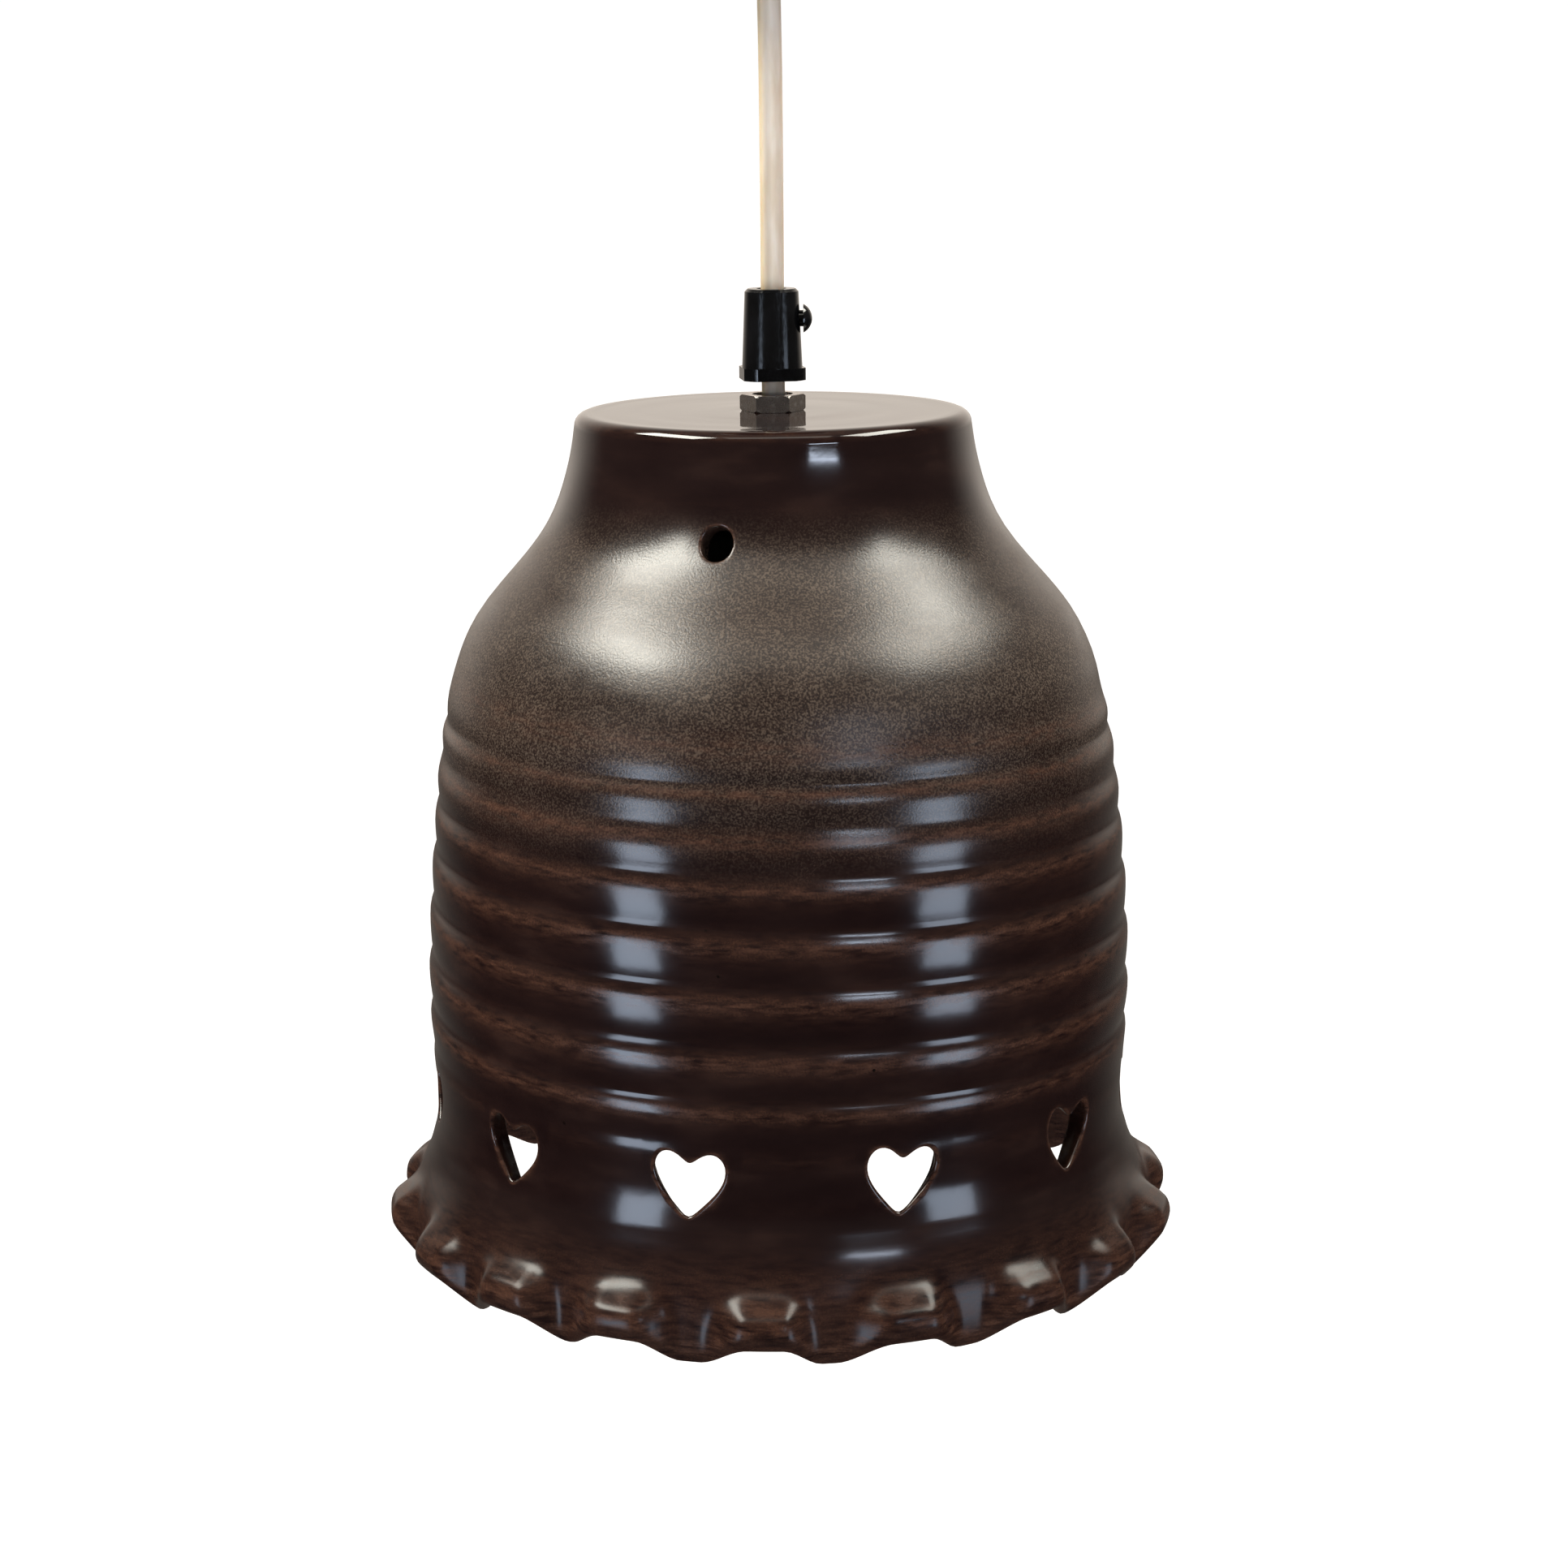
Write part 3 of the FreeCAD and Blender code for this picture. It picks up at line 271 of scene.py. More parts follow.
def smooth_curve(stops):
    """A natural cubic spline through (place, height) stops, its bends found by solving the
    usual three-band system, so slope and bend run on through each stop."""
    x, y = np.array(stops, float).T
    gap = np.diff(x)
    inner = np.arange(1, len(x) - 1)
    system = np.eye(len(x))
    system[inner, inner - 1] = gap[:-1]
    system[inner, inner] = 2 * (gap[:-1] + gap[1:])
    system[inner, inner + 1] = gap[1:]
    right = np.zeros(len(x))
    right[inner] = 6 * np.diff(np.diff(y) / gap)
    bend = np.linalg.solve(system, right)

    def curve(at):
        at = np.clip(at, x[0], x[-1])
        i = np.clip(np.searchsorted(x, at, side="right") - 1, 0, len(gap) - 1)
        done, left, span = at - x[i], x[i + 1] - at, gap[i]
        return ((bend[i] * left ** 3 + bend[i + 1] * done ** 3) / (6 * span)
                + (y[i] / span - bend[i] * span / 6) * left
                + (y[i + 1] / span - bend[i + 1] * span / 6) * done)
    return curve


def eased(value):
    """Zero up to 0, one from 1, and 3v^2 - 2v^3 between."""
    value = np.clip(value, 0, 1)
    return value * value * (3 - 2 * value)


body_radius = smooth_curve(BODY_PROFILE)
spiral_depth = smooth_curve(SPIRAL)
TURNS = SPIRAL[-1][0]
turn_table = np.linspace(0, TURNS, 6001)
depth_table = spiral_depth(turn_table)
rib_places, soft_rib, steep_rib, rusty_rib = np.array(RIB_SECTION).T


def rib_phase(azimuth, depth):
    """How far down its own rib a point lies, 0 at the groove: turns of the spiral at that
    depth, less the part of a turn already gone at that azimuth."""
    return np.mod(np.interp(depth, depth_table, turn_table) - (azimuth - SEAM) / 360, 1)


def rib_strength(depth):
    """Ribs fade in on the shoulder, from 54 to 78 mm down, and out above and behind the
    hearts, to a trace from 150 to 164 mm and altogether by 178 mm."""
    return eased((depth - 54) / 24) * (1 - 0.88 * eased((depth - 150) / 14)) \
        * (1 - eased((depth - 164) / 14))


def outer_radius(azimuth, depth):
    """Thrown profile, plus the rib's section, soft above and steep below, where ribs are
    strong, plus the slow unevenness of a hand-thrown wall: three and five waves round of about
    a tenth of a millimetre."""
    phase = rib_phase(azimuth, depth)
    steep = eased((depth - 78) / 44)
    rib = (np.interp(phase, rib_places, soft_rib) * (1 - steep)
           + np.interp(phase, rib_places, steep_rib) * steep) - steep_rib.max()
    angle = np.radians(azimuth)
    sway = (0.14 * np.sin(3 * angle + depth / 31) + 0.09 * np.sin(5 * angle - depth / 17)) \
        * eased((depth - 4) / 20)
    return body_radius(depth) + rib * rib_strength(depth) + sway


def wall_point(azimuth, depth, inset):
    """Radius and depth of a point that far in from the outer face, square to the profile; the
    ribs and the unevenness are left behind within the wall's thickness."""
    slope = (body_radius(depth + 0.5) - body_radius(depth - 0.5))
    square = np.hypot(1, slope)
    skin_share = 1 - inset / WALL_MM
    radius = body_radius(depth) + (outer_radius(azimuth, depth) - body_radius(depth)) * skin_share
    return radius - inset / square, depth + inset * slope / square


shade_points, shade_thin, shade_faces = [], [], []


def lay(azimuth, radius, depth, thin=0.0):
    """Adds points by azimuth in degrees from the front, radius and depth below the plate in mm,
    and gives back their numbers in the same layout. Thin is how bare the glaze is there."""
    azimuth, radius, depth, thin = np.broadcast_arrays(azimuth, radius, depth, thin)
    angle = np.radians(azimuth)
    first = sum(len(part) for part in shade_points)
    shade_points.append(np.stack([MM * radius * np.sin(angle), -MM * radius * np.cos(angle),
                                  plate_z - MM * depth], -1).reshape(-1, 3))
    shade_thin.append(np.ravel(thin))
    return first + np.arange(azimuth.size).reshape(azimuth.shape)


def halved(fine, coarse):
    """Three triangles for every second point of a fine loop, down to a loop of half as many."""
    a, b, c = fine[0::2], fine[1::2], np.roll(fine[0::2], -1)
    d, e = coarse, np.roll(coarse, -1)
    return np.concatenate([np.stack(t, -1) for t in ((a, b, d), (b, e, d), (b, c, e))])


column = np.arange(COLUMNS)
azimuths = SEAM + 360 * column / COLUMNS
phases = rib_places[:ROWS_PER_TURN]
row = np.arange(int(round(TURNS - 1)) * ROWS_PER_TURN + 8)
row_turn = row // ROWS_PER_TURN + phases[row % ROWS_PER_TURN]
row_turn = row_turn[row_turn <= TURNS - 1 + 1e-9]
body_depth = spiral_depth(row_turn[:, None] + column / COLUMNS)
rusty = np.interp(np.mod(row_turn, 1), rib_places, rusty_rib)
body_thin = rusty[:, None] * (0.05 + 0.95 * rib_strength(body_depth))
body = lay(azimuths, outer_radius(azimuths, body_depth), body_depth, body_thin)
keep = np.ones((len(row_turn) - 1, COLUMNS - 1), bool)
top_row, foot_row = body[0], body[-1]
# The seam runs down the back: a row that has gone once round meets the row one turn below.
seam = np.stack([body[:-ROWS_PER_TURN, -1], body[ROWS_PER_TURN:, 0]], 1)
shade_faces.append(web(seam))
head, tail = body[:ROWS_PER_TURN + 1, 0], body[-ROWS_PER_TURN - 1:, -1]
shade_faces.append(np.stack([np.full(ROWS_PER_TURN, body[0, -1]), head[:-1], head[1:]], -1))
shade_faces.append(np.stack([np.full(ROWS_PER_TURN, body[-1, 0]), tail[:-1], tail[1:]], -1))

# The inner face has half the columns and level rows, closer together behind the hearts.
inner_azimuths = azimuths[::2]
INNER_ROWS = [14.5, 18.0, 21.5, 25.0, 28.5, 32.0, 36.0, 40.0, 44.0, 48.0, 52.0, 56.0, 61.0, 67.0,
              74.0, 82.0, 90.0, 98.0, 106.0, 114.0, 122.0, 130.0, 138.0, 146.0, 152.0]
HEART_INNER_ROWS = 12
INNER_ROWS = np.concatenate([INNER_ROWS, np.linspace(156.2, 181.2, HEART_INNER_ROWS)])
inner_radius, inner_depth = wall_point(inner_azimuths, INNER_ROWS[:, None], WALL_MM)
throwing = 0.15 * np.sin(inner_depth * 0.9 + np.radians(inner_azimuths))
inner = lay(inner_azimuths, inner_radius + throwing, inner_depth)
inner_keep = np.ones((len(INNER_ROWS) - 1, len(inner_azimuths) - 1), bool)
inner_map = np.broadcast_to(INNER_ROWS[:, None], inner.shape)


def rim_of_patch(grid, first_row, last_row, first_column, last_column):
    """The numbers round a rectangle of the grid, clockwise from its upper left corner."""
    return np.concatenate([grid[first_row, first_column:last_column],
                           grid[first_row:last_row, last_column],
                           grid[last_row, last_column:first_column:-1],
                           grid[last_row:first_row:-1, first_column]])


def cut_opening(centre_azimuth, centre_depth, outline, tilt_deg, edge_round, outer_patch,
                inner_patch, taper=0.0):
    """Cuts an opening with glazed, rounded edges: rings run from a rectangle left out of the
    outer grid to the outline, a quarter circle over the edge, through the wall, growing by
    taper, and over the inner edge to a rectangle left out of the inner grid. The outline is a
    pair of arrays of distances across and down, met at the angle at which each point lies."""
    reach = body_radius(centre_depth) * math.pi / 180
    tilt = math.radians(tilt_deg)
    across_line = outline[0] * math.cos(tilt) - outline[1] * math.sin(tilt)
    down_line = outline[0] * math.sin(tilt) + outline[1] * math.cos(tilt)
    around = np.mod(np.arctan2(across_line, -down_line), math.tau)
    order = np.argsort(around)
    around, across_line, down_line = around[order], across_line[order], down_line[order]
    size = np.hypot(across_line, down_line)

    def ring(angles, grow):
        """The outline moved outwards by grow, at these angles."""
        length = np.interp(angles, around, size, period=math.tau) + grow
        return length * np.sin(angles), -length * np.cos(angles)

    def spread(grid, map_azimuth, map_depth, patch):
        """A patch's rim: its numbers and its distances across and down from the centre."""
        rim = rim_of_patch(grid, *patch)
        rim_across = (rim_of_patch(map_azimuth, *patch) - centre_azimuth) * reach
        return rim, rim_across, rim_of_patch(map_depth, *patch) - centre_depth

    def fill(rim, rim_across, rim_down, steps, inset, grow):
        """Rings between a patch's rim and the outline grown by that much; gives the last."""
        angles = np.mod(np.arctan2(rim_across, -rim_down), math.tau)
        goal_across, goal_down = ring(angles, grow)
        share = np.array(steps)[:, None]
        ring_across = rim_across * (1 - share) + goal_across * share
        ring_down = rim_down * (1 - share) + goal_down * share
        azimuth = centre_azimuth + ring_across / reach
        radius, depth = wall_point(azimuth, centre_depth + ring_down, inset)
        bare = np.broadcast_to(np.clip(share - 0.9, 0, 1) * 8, azimuth.shape)
        rings = lay(azimuth, radius, depth, bare)
        shade_faces.append(web(looped(np.concatenate([rim[None], rings]))))
        return angles, rings[-1]

    def over_edge(angles, last, insets, grows, bare):
        """Rings on over an edge or through the wall, each grown and inset by its own amount."""
        ring_across, ring_down = ring(angles, np.array(grows)[:, None])
        azimuth = centre_azimuth + ring_across / reach
        radius, depth = wall_point(azimuth, centre_depth + ring_down, np.array(insets)[:, None])
        rings = lay(azimuth, radius, depth, np.array(bare)[:, None])
        shade_faces.append(web(looped(np.concatenate([last[None], rings]))))
        return rings[-1]

    rim, rim_across, rim_down = spread(body, azimuth_map, body_depth, outer_patch)
    steps = [0.3, 0.58, 0.8, 0.93, 1.0]
    angles, last = fill(rim, rim_across, rim_down, steps, 0.0, edge_round)
    lean = np.radians([30, 60, 90])
    last = over_edge(angles, last, edge_round * (1 - np.cos(lean)),
                     edge_round * (1 - np.sin(lean)), [1.0, 0.8, 0.3])
    last = over_edge(angles, last, [WALL_MM * 0.5, WALL_MM - edge_round], [taper / 2, taper],
                     [0.1, 0.2])
    back, back_across, back_down = spread(inner, inner_azimuth_map, inner_map, inner_patch)
    back_angles, back_last = fill(back, back_across, back_down, [0.4, 0.75, 1.0], WALL_MM,
                                  edge_round + taper)
    back_last = over_edge(back_angles, back_last, WALL_MM - edge_round * (1 - np.cos(lean[:2])),
                          edge_round * (1 - np.sin(lean[:2])) + taper, [0.6, 0.5])
    start = int(np.argmin(np.abs(np.angle(np.exp(1j * (back_angles - angles[0]))))))
    shade_faces.append(halved(last, np.roll(back_last, -start)))


azimuth_map = np.broadcast_to(azimuths, body.shape)
inner_azimuth_map = np.broadcast_to(inner_azimuths, inner.shape)

# Hearts: cut by hand with a fettling knife, each a little out of true.
HEART_WIDTH = 17.0
HEART_HEIGHT = 15.6
HEART_DEPTH = 170.0
HEART_EDGE = 0.8
HEART_TAPER = 2.0
HEART_LEAN = 5.0
HEARTS = 11
# How far each was pricked out from its even place round the wall, in degrees.
HEART_STRAY = [0.3, 0.4, 1.2, -0.8, 0.5, -0.4, 0.9, -0.6, 0.3, -0.2, 0.1]
HEART_AZIMUTH = -14.5
t = np.linspace(0, math.tau, 721)[:-1]
heart = np.stack([3 * np.sin(t) - 0.45 * np.sin(3 * t),
                  -(13 * np.cos(t) - 4.2 * np.cos(2 * t) - 1.6 * np.cos(3 * t)
                    - 0.6 * np.cos(4 * t))])
heart -= (heart.max(1, keepdims=True) + heart.min(1, keepdims=True)) / 2
heart *= np.array([[HEART_WIDTH], [HEART_HEIGHT]]) / np.ptp(heart, axis=1)[:, None]
by_hand = np.random.default_rng(11)
# Rectangles left out of the grids for an opening: the outer one's first row is at this depth,
# and the inner one has half as many points round it.
PATCH_HALF_COLUMNS = 9
HEART_GRID_ROWS = 24
HEART_GRID_TOP = 157.3
for index, stray in enumerate(HEART_STRAY):
    centre = np.mod(HEART_AZIMUTH + 360 / HEARTS * index + stray - SEAM, 360) + SEAM
    lean_deg = HEART_LEAN + by_hand.uniform(-3, 3)
    middle = int(round((centre - SEAM) / 360 * COLUMNS / 2)) * 2
    first = int(np.argmin(np.abs(body_depth[:, middle] - HEART_GRID_TOP)))
    last = first + HEART_GRID_ROWS
    patch = (first, last, middle - PATCH_HALF_COLUMNS, middle + PATCH_HALF_COLUMNS)
    keep[first:last, patch[2]:patch[3]] = False
    inner_first = len(INNER_ROWS) - HEART_INNER_ROWS
    inner_last = len(INNER_ROWS) - 1
    inner_columns = PATCH_HALF_COLUMNS + HEART_GRID_ROWS // 2 - (inner_last - inner_first)
    inner_left = middle // 2 - inner_columns // 2
    inner_patch = (inner_first, inner_last, inner_left, inner_left + inner_columns)
    inner_keep[inner_first:inner_last, inner_patch[2]:inner_patch[3]] = False
    cut_opening(centre, HEART_DEPTH, heart, lean_deg, HEART_EDGE, patch, inner_patch,
                HEART_TAPER)

# Vents: drilled through the neck for the lamp's warm air, with a hard, bare edge.
VENT_RADIUS = 3.9
VENT_DEPTH = 25.0
VENT_EDGE = 0.45
VENT_AZIMUTH = -14.0
VENTS = 3
VENT_GRID_ROWS = 6
VENT_GRID_TOP = 18.2
vent = VENT_RADIUS * np.stack([np.sin(t), -np.cos(t)])
for index in range(VENTS):
    centre = VENT_AZIMUTH + 360 / VENTS * (index if index < 2 else -1)
    middle = int(round((centre - SEAM) / 360 * COLUMNS / 2)) * 2
    first = int(np.argmin(np.abs(body_depth[:, middle] - VENT_GRID_TOP)))
    last = first + VENT_GRID_ROWS
    patch = (first, last, middle - PATCH_HALF_COLUMNS, middle + PATCH_HALF_COLUMNS)
    keep[first:last, patch[2]:patch[3]] = False
    inner_patch = (1, 5, middle // 2 - 4, middle // 2 + 4)
    inner_keep[1:5, inner_patch[2]:inner_patch[3]] = False
    cut_opening(centre, VENT_DEPTH, vent, 0.0, VENT_EDGE, patch, inner_patch)

shade_faces.append(web(body).reshape(*keep.shape, 4)[keep])
shade_faces.append(web(inner).reshape(*inner_keep.shape, 4)[inner_keep])
shade_faces.append(web(np.stack([inner[:, -1], inner[:, 0]], 1)))

# The top: a level ring under the edge, the edge's quarter round, and the turned plate in to
# the hole for the lamp's thread, with half the columns twice on the way.
lean = np.radians(np.arange(0, 91, 15))[:, None]
edge_radius = outer_radius(azimuths, np.full((1, COLUMNS), EDGE_ROUND))
edge = lay(azimuths, edge_radius - EDGE_ROUND * (1 - np.cos(lean)),
           EDGE_ROUND * (1 - np.sin(lean)), 0.35 * np.sin(2 * lean))
shade_faces.append(web(looped(np.concatenate([edge[::-1], top_row[None]]))))


def plate_rings(angles, radii, depths):
    """Level rings of the plate, whose top dips and ripples by a few hundredths from turning."""
    radii, depths = np.array(radii)[:, None], np.array(depths)[:, None]
    ripple = 0.05 * np.sin(radii * 0.8 + np.radians(angles)) + 0.03 * np.sin(radii * 0.31)
    return lay(angles, radii, depths + np.where(depths < 0.5, ripple, 0))


plate_outer = plate_rings(azimuths, [44.2, 41.5, 38.0], [0.04, 0.08, 0.1])
plate_middle = plate_rings(inner_azimuths, [34.0, 29.0, 24.0], [0.1, 0.1, 0.08])
hole_azimuths = inner_azimuths[::2]
plate_inner = plate_rings(hole_azimuths, [20.0, 15.0, 10.0, 6.4, 5.6, HOLE_RADIUS, HOLE_RADIUS,
                                          5.8, 9.0, 15.0],
                          [0.06, 0.04, 0.02, 0.02, 0.15, 0.6, 6.3, PLATE_MM, PLATE_MM, PLATE_MM])
under_plate = plate_rings(inner_azimuths, [21.0, 28.0, 35.0, 40.5, 43.2, 44.6],
                          [PLATE_MM, PLATE_MM, PLATE_MM, PLATE_MM, 7.7, 9.8])
shade_faces += [web(looped(np.concatenate([edge[-1:], plate_outer]))),
                halved(plate_outer[-1], plate_middle[0]), web(looped(plate_middle)),
                halved(plate_middle[-1], plate_inner[0]), web(looped(plate_inner)),
                halved(under_plate[0], plate_inner[-1]),
                web(looped(np.concatenate([under_plate, inner[:1]])))]

# The rim: one profile for the wall left hanging between the hoods and one for a hood, a short
# dome pushed out and up until the clay's cut edge faces outwards. Both run over the outer face,
# the lip and up the inside, stop for stop, and the finger's push turns one into the other.
HOODS = 18
HOOD_TURN = -2.1
# A hood's ends lie this share of the hoods' spacing left and right of its middle, and its
# flanks are this much steeper than an even fall. Its top starts at this stop, is whole after so
# many more, and starts this much lower at the ends.
HOOD_LEFT = 0.52
HOOD_RIGHT = 0.40
HOOD_STEEP = 1.4
HOOD_TOP = 0.6
HOOD_RISE = 2.4
HOOD_ARCH = 2.4
HOOD_SHIFT_DEG = 1.2
RIM_HANGING = [(89.0, 183.0), (90.3, 187.2), (92.2, 191.6), (93.9, 196.4), (94.8, 201.6),
               (95.1, 206.0), (95.1, 208.0), (94.8, 209.5), (94.1, 210.7), (93.0, 211.3),
               (91.8, 211.1), (90.9, 210.0), (89.4, 205.6), (87.6, 199.6), (85.7, 192.6),
               (84.0, 186.5)]
RIM_HOOD = [(89.0, 183.0), (90.5, 187.6), (92.7, 192.0), (95.6, 195.2), (98.4, 197.2),
            (99.9, 199.0), (100.5, 201.2), (100.4, 203.2), (99.5, 204.8), (98.0, 205.9),
            (96.5, 206.2), (95.2, 205.2), (93.6, 202.0), (91.4, 197.6), (88.0, 192.6),
            (84.4, 187.0)]
# How far each finger mark has strayed from its even place, in degrees, from the front round.
STRAY = np.array([0.0, 0.3, 0.9, -0.9, -2.2, -1.0, 0.6, 1.0, -0.5, 0.8, -0.9, 0.4, -0.6, 0.9,
                  0.5, 1.7, 0.5, -0.7])
hood_azimuths = HOOD_TURN + 360 / HOODS * np.arange(HOODS) + STRAY
hood_push = 1 + by_hand.uniform(-0.1, 0.08, HOODS)
hood_reach = 1 + by_hand.uniform(-0.08, 0.1, HOODS)


def rim_point(azimuth, stop):
    """Hanging profile plus the finger's push times the way from it to the hood's. The push is
    the product of two eased ramps, one over side, which runs from 0 at the hood's middle to 1
    at its ends, the right end the nearer, and one over stop, which starts lower by HOOD_ARCH
    times the square of side, so that the hood's upper edge is an arch."""
    away = np.mod(azimuth[:, None] - hood_azimuths + 180, 360) - 180
    nearest = np.argmin(np.abs(away + HOOD_SHIFT_DEG), axis=1)
    away = away[np.arange(len(azimuth)), nearest] / (360 / HOODS) / hood_reach[nearest]
    side = np.where(away < 0, -away / HOOD_LEFT, away / HOOD_RIGHT)
    push = (eased(HOOD_STEEP * (1 - side))
            * eased((stop - HOOD_TOP - HOOD_ARCH * side ** 2) / HOOD_RISE)
            * hood_push[nearest])
    hang_radius, hang_depth, hood_radius, hood_depth = [
        smooth_curve([(place, stop_at[axis]) for place, stop_at in enumerate(profile)])(stop)
        for profile in (RIM_HANGING, RIM_HOOD) for axis in (0, 1)]
    uneven = (outer_radius(azimuth, np.full(len(azimuth), BODY_FOOT)) - body_radius(BODY_FOOT))
    return (hang_radius + (hood_radius - hang_radius) * push + uneven,
            hang_depth + (hood_depth - hang_depth) * push, push)


# The glaze is thin along the lip and over each hood's brow.
outer_stops = np.concatenate([np.arange(15) / 3, np.arange(10, 21) / 2])[:, None]
radius, depth, push = rim_point(azimuths, outer_stops)
lip = np.exp(-((outer_stops - 5.6) / 0.5) ** 2)
crown = 0.4 * np.exp(-((outer_stops - 3.6) / 1.1) ** 2) * push
rim = lay(azimuths, radius, depth, np.clip(lip * 0.8 + crown, 0, 1))
inner_stops = (np.arange(21, 31) / 2)[:, None]
radius, depth, push = rim_point(inner_azimuths, inner_stops)
rim_inside = lay(inner_azimuths, radius, depth)
shade_faces += [web(looped(np.concatenate([foot_row[None], rim]))),
                halved(rim[-1], rim_inside[0]),
                web(looped(np.concatenate([rim_inside, inner[-1:]])))]

shade = solid_mesh("stoneware_bell", np.concatenate(shade_points), shade_faces,
                   attributes=[("thin_glaze", np.concatenate(shade_thin))])

# Iron glaze on stoneware: near-black brown and glassy where thick, with the dark clay showing
# rusty through the thin film on crests and edges; the shoulder, where the spray came dry, is
# finely speckled and satin.
glaze, at = new_material("dark_iron_glaze_on_stoneware")
height = add(glaze, "SeparateXYZ", [(0, at)]).outputs["Z"]


def by_depth(start_mm, end_mm, low=0.0, high=1.0):
    """A value eased from low to high between two depths below the flat top."""
    return add(glaze, "MapRange", [("Value", height)], interpolation_type="SMOOTHSTEP",
               From_Min=plate_z - start_mm * MM, From_Max=plate_z - end_mm * MM,
               To_Min=low, To_Max=high).outputs[0]


satin = maths(glaze, "MULTIPLY", by_depth(16, 36), by_depth(106, 56))
cloud = pattern(glaze, at, 24, 3, (1, 1, 0.35))
body_tone = graded(glaze, cloud, (0.3, "#140a0a"), (0.55, "#1a0f0e"), (0.75, "#251815"))
# The grain is about half a millimetre across, as coarse as spray droplets dry.
speck = pattern(glaze, at, 0.5, 2)
dusty = graded(glaze, speck, (0.36, "#1c1410"), (0.5, "#362a23"), (0.62, "#5a4d42"))
drawn = pattern(glaze, at, 1.1, 3, (5, 5, 1))
thin = add(glaze, "Attribute", attribute_name="thin_glaze").outputs["Fac"]
broken = add(glaze, "MapRange", [("Value", drawn)], From_Min=0.3, From_Max=0.62)
# The whole rim is a shade browner than the wall.
thin = add(glaze, "Math", [(0, thin), (1, by_depth(180, 200, 0.0, 0.45))], operation="ADD",
           use_clamp=True)
rusted = maths(glaze, "MULTIPLY",
               maths(glaze, "MULTIPLY", thin.outputs[0], broken.outputs[0]), 0.55)
rust = graded(glaze, speck, (0.3, "#40281f"), (0.7, "#5e3e2e"))
cloudy = add(glaze, "MapRange", [("Value", cloud)], From_Min=0.25, From_Max=0.7, To_Min=0.45,
             To_Max=0.95)
dust_share = maths(glaze, "MULTIPLY", satin, cloudy.outputs[0])
with_dust = add(glaze, "Mix", [("Factor", dust_share), (6, body_tone), (7, dusty)],
                data_type="RGBA")
with_rust = add(glaze, "Mix", [("Factor", rusted), (6, with_dust.outputs[2]),
                               (7, rust)], data_type="RGBA")
# The flat top is the glassiest, and the rim duller than the wall.
on_plate = by_depth(10, 2, 0.13, 0.055)
on_rim = by_depth(180, 198, 0.0, 0.08)
dry = add(glaze, "MapRange", [("Value", cloud)], From_Min=0.3, From_Max=0.7, To_Min=0.26,
          To_Max=0.38)
on_rust = add(glaze, "MapRange", [("Value", rusted)], From_Max=0.7, To_Min=0.0, To_Max=0.14)
glossy = maths(glaze, "ADD", maths(glaze, "ADD", on_rust.outputs[0], on_plate), on_rim)
# The glaze drained off the rim, so it is thinner there and reflects less.
drained = by_depth(184, 196, 0.5, 0.2)
shine = add(glaze, "Mix", [("Factor", satin), (2, glossy), (3, dry.outputs[0])],
            data_type="FLOAT")
peel = bumped(glaze, pattern(glaze, at, 2.6, 2), 0.025, 0.35)
grain = bumped(glaze, maths(glaze, "MULTIPLY", speck, satin), 0.05, 1.0, under=peel)
# Here and there a bubble in the glaze has burst into a pinhole about 0.8 mm across.
spaced = add(glaze, "Mapping", [("Vector", at)], Scale=(62, 62, 62))
bubble = add(glaze, "TexVoronoi", [("Vector", spaced.outputs[0])], Scale=1.0)
hole = add(glaze, "MapRange", [("Value", bubble.outputs["Distance"])], From_Min=0.018,
           From_Max=0.03, To_Min=1.0, To_Max=0.0)
pitted = add(glaze, "Mix", [("Factor", hole.outputs[0]), (6, with_rust.outputs[2])],
             data_type="RGBA")
pitted.inputs[7].default_value = linear("#0a0605")
finish_material(glaze, [("Base Color", pitted.outputs[2]), ("Roughness", shine.outputs[0]),
                        ("Specular IOR Level", drained), ("Normal", grain)],
                IOR=1.52)
shade.data.materials.append(glaze)
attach(shade, "lamp")
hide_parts("stoneware_shade")

# ---------------------------------------------------------------- nuts and hollow thread
# M10 by 1 lamp nuts, 14 mm across their flats, and the hollow nipple that they clamp the shade
# on: turned steel with a dull nickel plate, clouded in random spots.
def dressed(material, *names):
    """Puts a material on every slot of these nodes."""
    for name in names:
        if not nodes[name].material_slots:
            nodes[name].data.materials.append(material)
        for place in nodes[name].material_slots:
            place.material = material


def worn_metal(name, dull, clean, spot_mm, roughness, draw=(1, 1, 1), bump_mm=0.01):
    """A metal whose film of age lies in spots of this size: clean and smoother between them,
    dull and rougher in them, over fine tool marks drawn out along an axis."""
    metal, at = new_material(name)
    age = pattern(metal, at, spot_mm, 4, roughness=0.62)
    tone = graded(metal, age, (0.36, clean), (0.55, dull), (0.72, clean))
    rough = add(metal, "MapRange", [("Value", age)], From_Min=0.35, From_Max=0.65,
                To_Min=roughness, To_Max=roughness + 0.16)
    marks = bumped(metal, pattern(metal, at, 0.25, 2, draw), bump_mm, 0.6)
    return finish_material(metal, [("Base Color", tone), ("Roughness", rough.outputs[0]),
                                   ("Normal", marks)], Metallic=1.0)


# Dull nickel: a warm grey mirror gone cloudy, with brownish tarnish in specks.
dressed(worn_metal("dull_nickel_plated_steel", "#b1a7a0", "#d2cecb", 1.6, 0.2, (6, 6, 1)),
        "top_nut", "threaded_nipple", "inner_nut", "outlet_nut")

